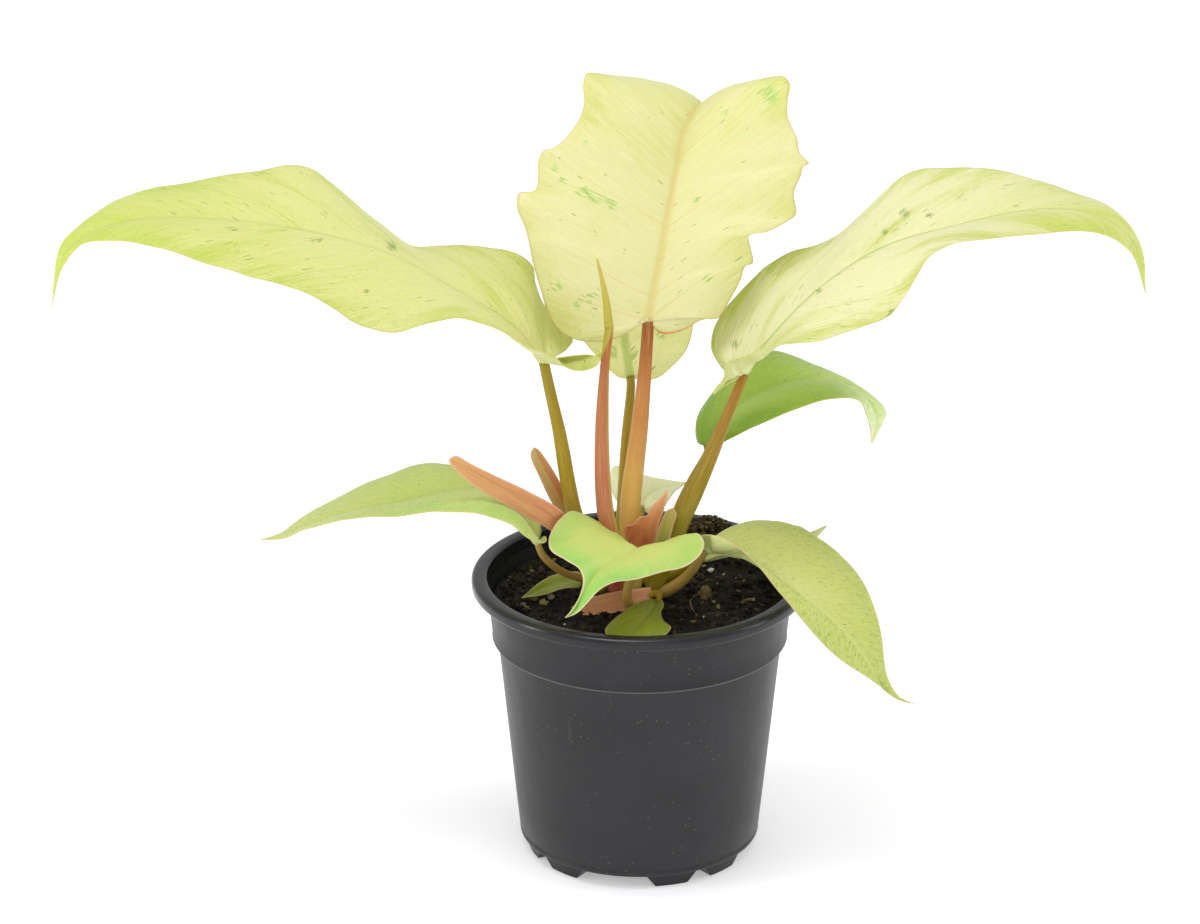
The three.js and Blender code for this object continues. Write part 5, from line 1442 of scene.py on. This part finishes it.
LEAVES = {
    "left_large": (LEFT_LARGE, "pale_left", "blade_pale", OLIVE, "stalk_olive"),
    "centre": (CENTRE, "cream", "blade_cream", SALMON, "stalk_salmon"),
    "right_large": (RIGHT_LARGE, "pale_right", "blade_pale", OCHRE, "stalk_ochre"),
    "right_green": (RIGHT_GREEN, "green", "blade_green", OLIVE, "stalk_olive"),
    "back_upright": (BACK_UPRIGHT, "pale_back_painted_light", "blade_pale", OLIVE, "stalk_olive"),
    "back_low": (BACK_LOW, "mint_painted_light", "blade_lime", OLIVE, "stalk_olive"),
    "left_low": (LEFT_LOW, "lime_low", "blade_lime", LOW_OCHRE, "stalk_ochre"),
    "front": (FRONT, "lime", "blade_lime", LOW_OCHRE, "stalk_ochre"),
    "right_low": (RIGHT_LOW, "droop", "blade_pale", LOW_OCHRE, "stalk_ochre"),
    "right_small": (RIGHT_SMALL, "lime_low", "blade_lime", OLIVE, "stalk_olive"),
    "soil_left": (SOIL_LEFT, "deep", "blade_lime", OLIVE, "stalk_olive"),
    "front_small": (FRONT_SMALL, "deep", "blade_green", OLIVE, "stalk_olive"),
}


def stalk_section(angle, share):
    """A stalk is round, with a shallow gutter that fades towards its foot."""
    gutter = 0.10 * share * math.exp(-((angle - math.pi * 1.5) / 0.5) ** 2)
    return 1.0 - gutter + 0.02 * math.cos(3 * angle)


def make_leaves():
    looks = {name: leaf_material(f"leaf_{name}", **look) for name, look in LEAF_LOOKS.items()}
    stalk_looks = {}
    for seed, (name, (leaf, look, slot, colours, stalk_slot)) in enumerate(LEAVES.items()):
        leaf = {**leaf, **LEAF_FORMS.get(name, {})}
        blade_piece(f"leaf_{name}", leaf, looks[look], f"blade_{name}", seed)
        key = id(colours)
        if key not in stalk_looks:
            stalk_looks[key] = stalk_material(f"stalk_look_{len(stalk_looks)}", colours)
        path = seen_all([*leaf["stalk"], leaf["midrib"][0]])
        radii = [*leaf["stalk_radii"], leaf["stalk_radii"][-1] * STALK_TIP]
        mesh = tube_mesh(f"petiole_{name}", path, radii, section=stalk_section)
        make_piece(f"petiole_{name}", mesh, stalk_looks[key], f"stalk_{name}")
    roll_path = seen_all(YOUNG["roll"])
    path = seen_all([*YOUNG["stalk"], YOUNG["roll"][0]])
    onward = roll_path[1] - roll_path[0]
    path[-1] += onward / np.linalg.norm(onward) * ROLL_LAP
    radii = [*YOUNG["stalk_radii"], YOUNG["roll_radii"][0] * 0.95]
    mesh = tube_mesh("petiole_young", path, radii, section=stalk_section)
    material = stalk_material("stalk_look_young", PINK, flecks=0.5, wrap=SPEAR[0])
    make_piece("petiole_young", mesh, material, "stalk_young")
    roll = tube_mesh("roll_young", roll_path, YOUNG["roll_radii"], steps=40)
    make_piece("roll_young", roll, stalk_material("roll_look", SPEAR), "rolled_leaf")


def make_sheaths():
    """The five sheaths. The one that is split shows its pale inside along its left half."""
    blush = (0.80, 0.44, 0.30)
    salmon = sheath_material("sheath_salmon", (0.62, 0.25, 0.11), (0.66, 0.34, 0.13), blush)
    pink = sheath_material("sheath_pink", (0.60, 0.24, 0.13), (0.66, 0.30, 0.17), blush)
    rose = sheath_material("sheath_rose", (0.66, 0.20, 0.09), (0.76, 0.34, 0.16), blush)
    pale = sheath_material("sheath_pale", (0.40, 0.42, 0.08), (0.50, 0.48, 0.14), blush)
    split = sheath_material("sheath_split", (0.66, 0.28, 0.12), (0.66, 0.34, 0.14), blush,
                            left=(0.62, 0.47, 0.17))
    looks = {"sheath_left_long": salmon, "sheath_left_short": split, "sheath_front_low": pink,
             "sheath_toothed": rose, "sheath_right_pale": pale}
    for seed, (name, sheath) in enumerate(SHEATHS.items()):
        shape = {**sheath, "fan": 0, "quilt": 0.05, "wave": 0.3}
        blade_piece(f"{name}_skin", shape, looks[name], name, seed + 40, thickness=0.7, keel=1.0,
                    per_guide=16, half_columns=12)


def make_stem():
    path = np.array([(CROWN[0], CROWN[1], z) for z in STEM_HEIGHTS])
    mesh = tube_mesh("stem", path, STEM_RADII, sides=40, steps=30)
    browns = [(0.12, 0.08, 0.03), (0.20, 0.14, 0.05), (0.24, 0.20, 0.06)]
    material = stalk_material("stem_look", browns, flecks=0.6)
    make_piece("stem", mesh, material, None)
    g = Graph("root")
    place = g.place()
    grain = g.noise(place, 500.0, 4.0, 0.65)
    colour = g.mix(g.step(grain, 0.3, 0.7), (0.30, 0.20, 0.09), (0.50, 0.36, 0.18))
    material = g.finish(colour, 0.8, g.bump(grain, 0.0005, 0.7), specular=0.3)
    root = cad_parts["stem_and_roots"]
    root.data.materials.clear()
    root.data.materials.append(material)


make_view()
make_light()
make_floor()
make_pot()
make_soil()
make_crumbs()
make_grains()
make_bark()
make_fibres()
make_stem()
make_leaves()
make_sheaths()
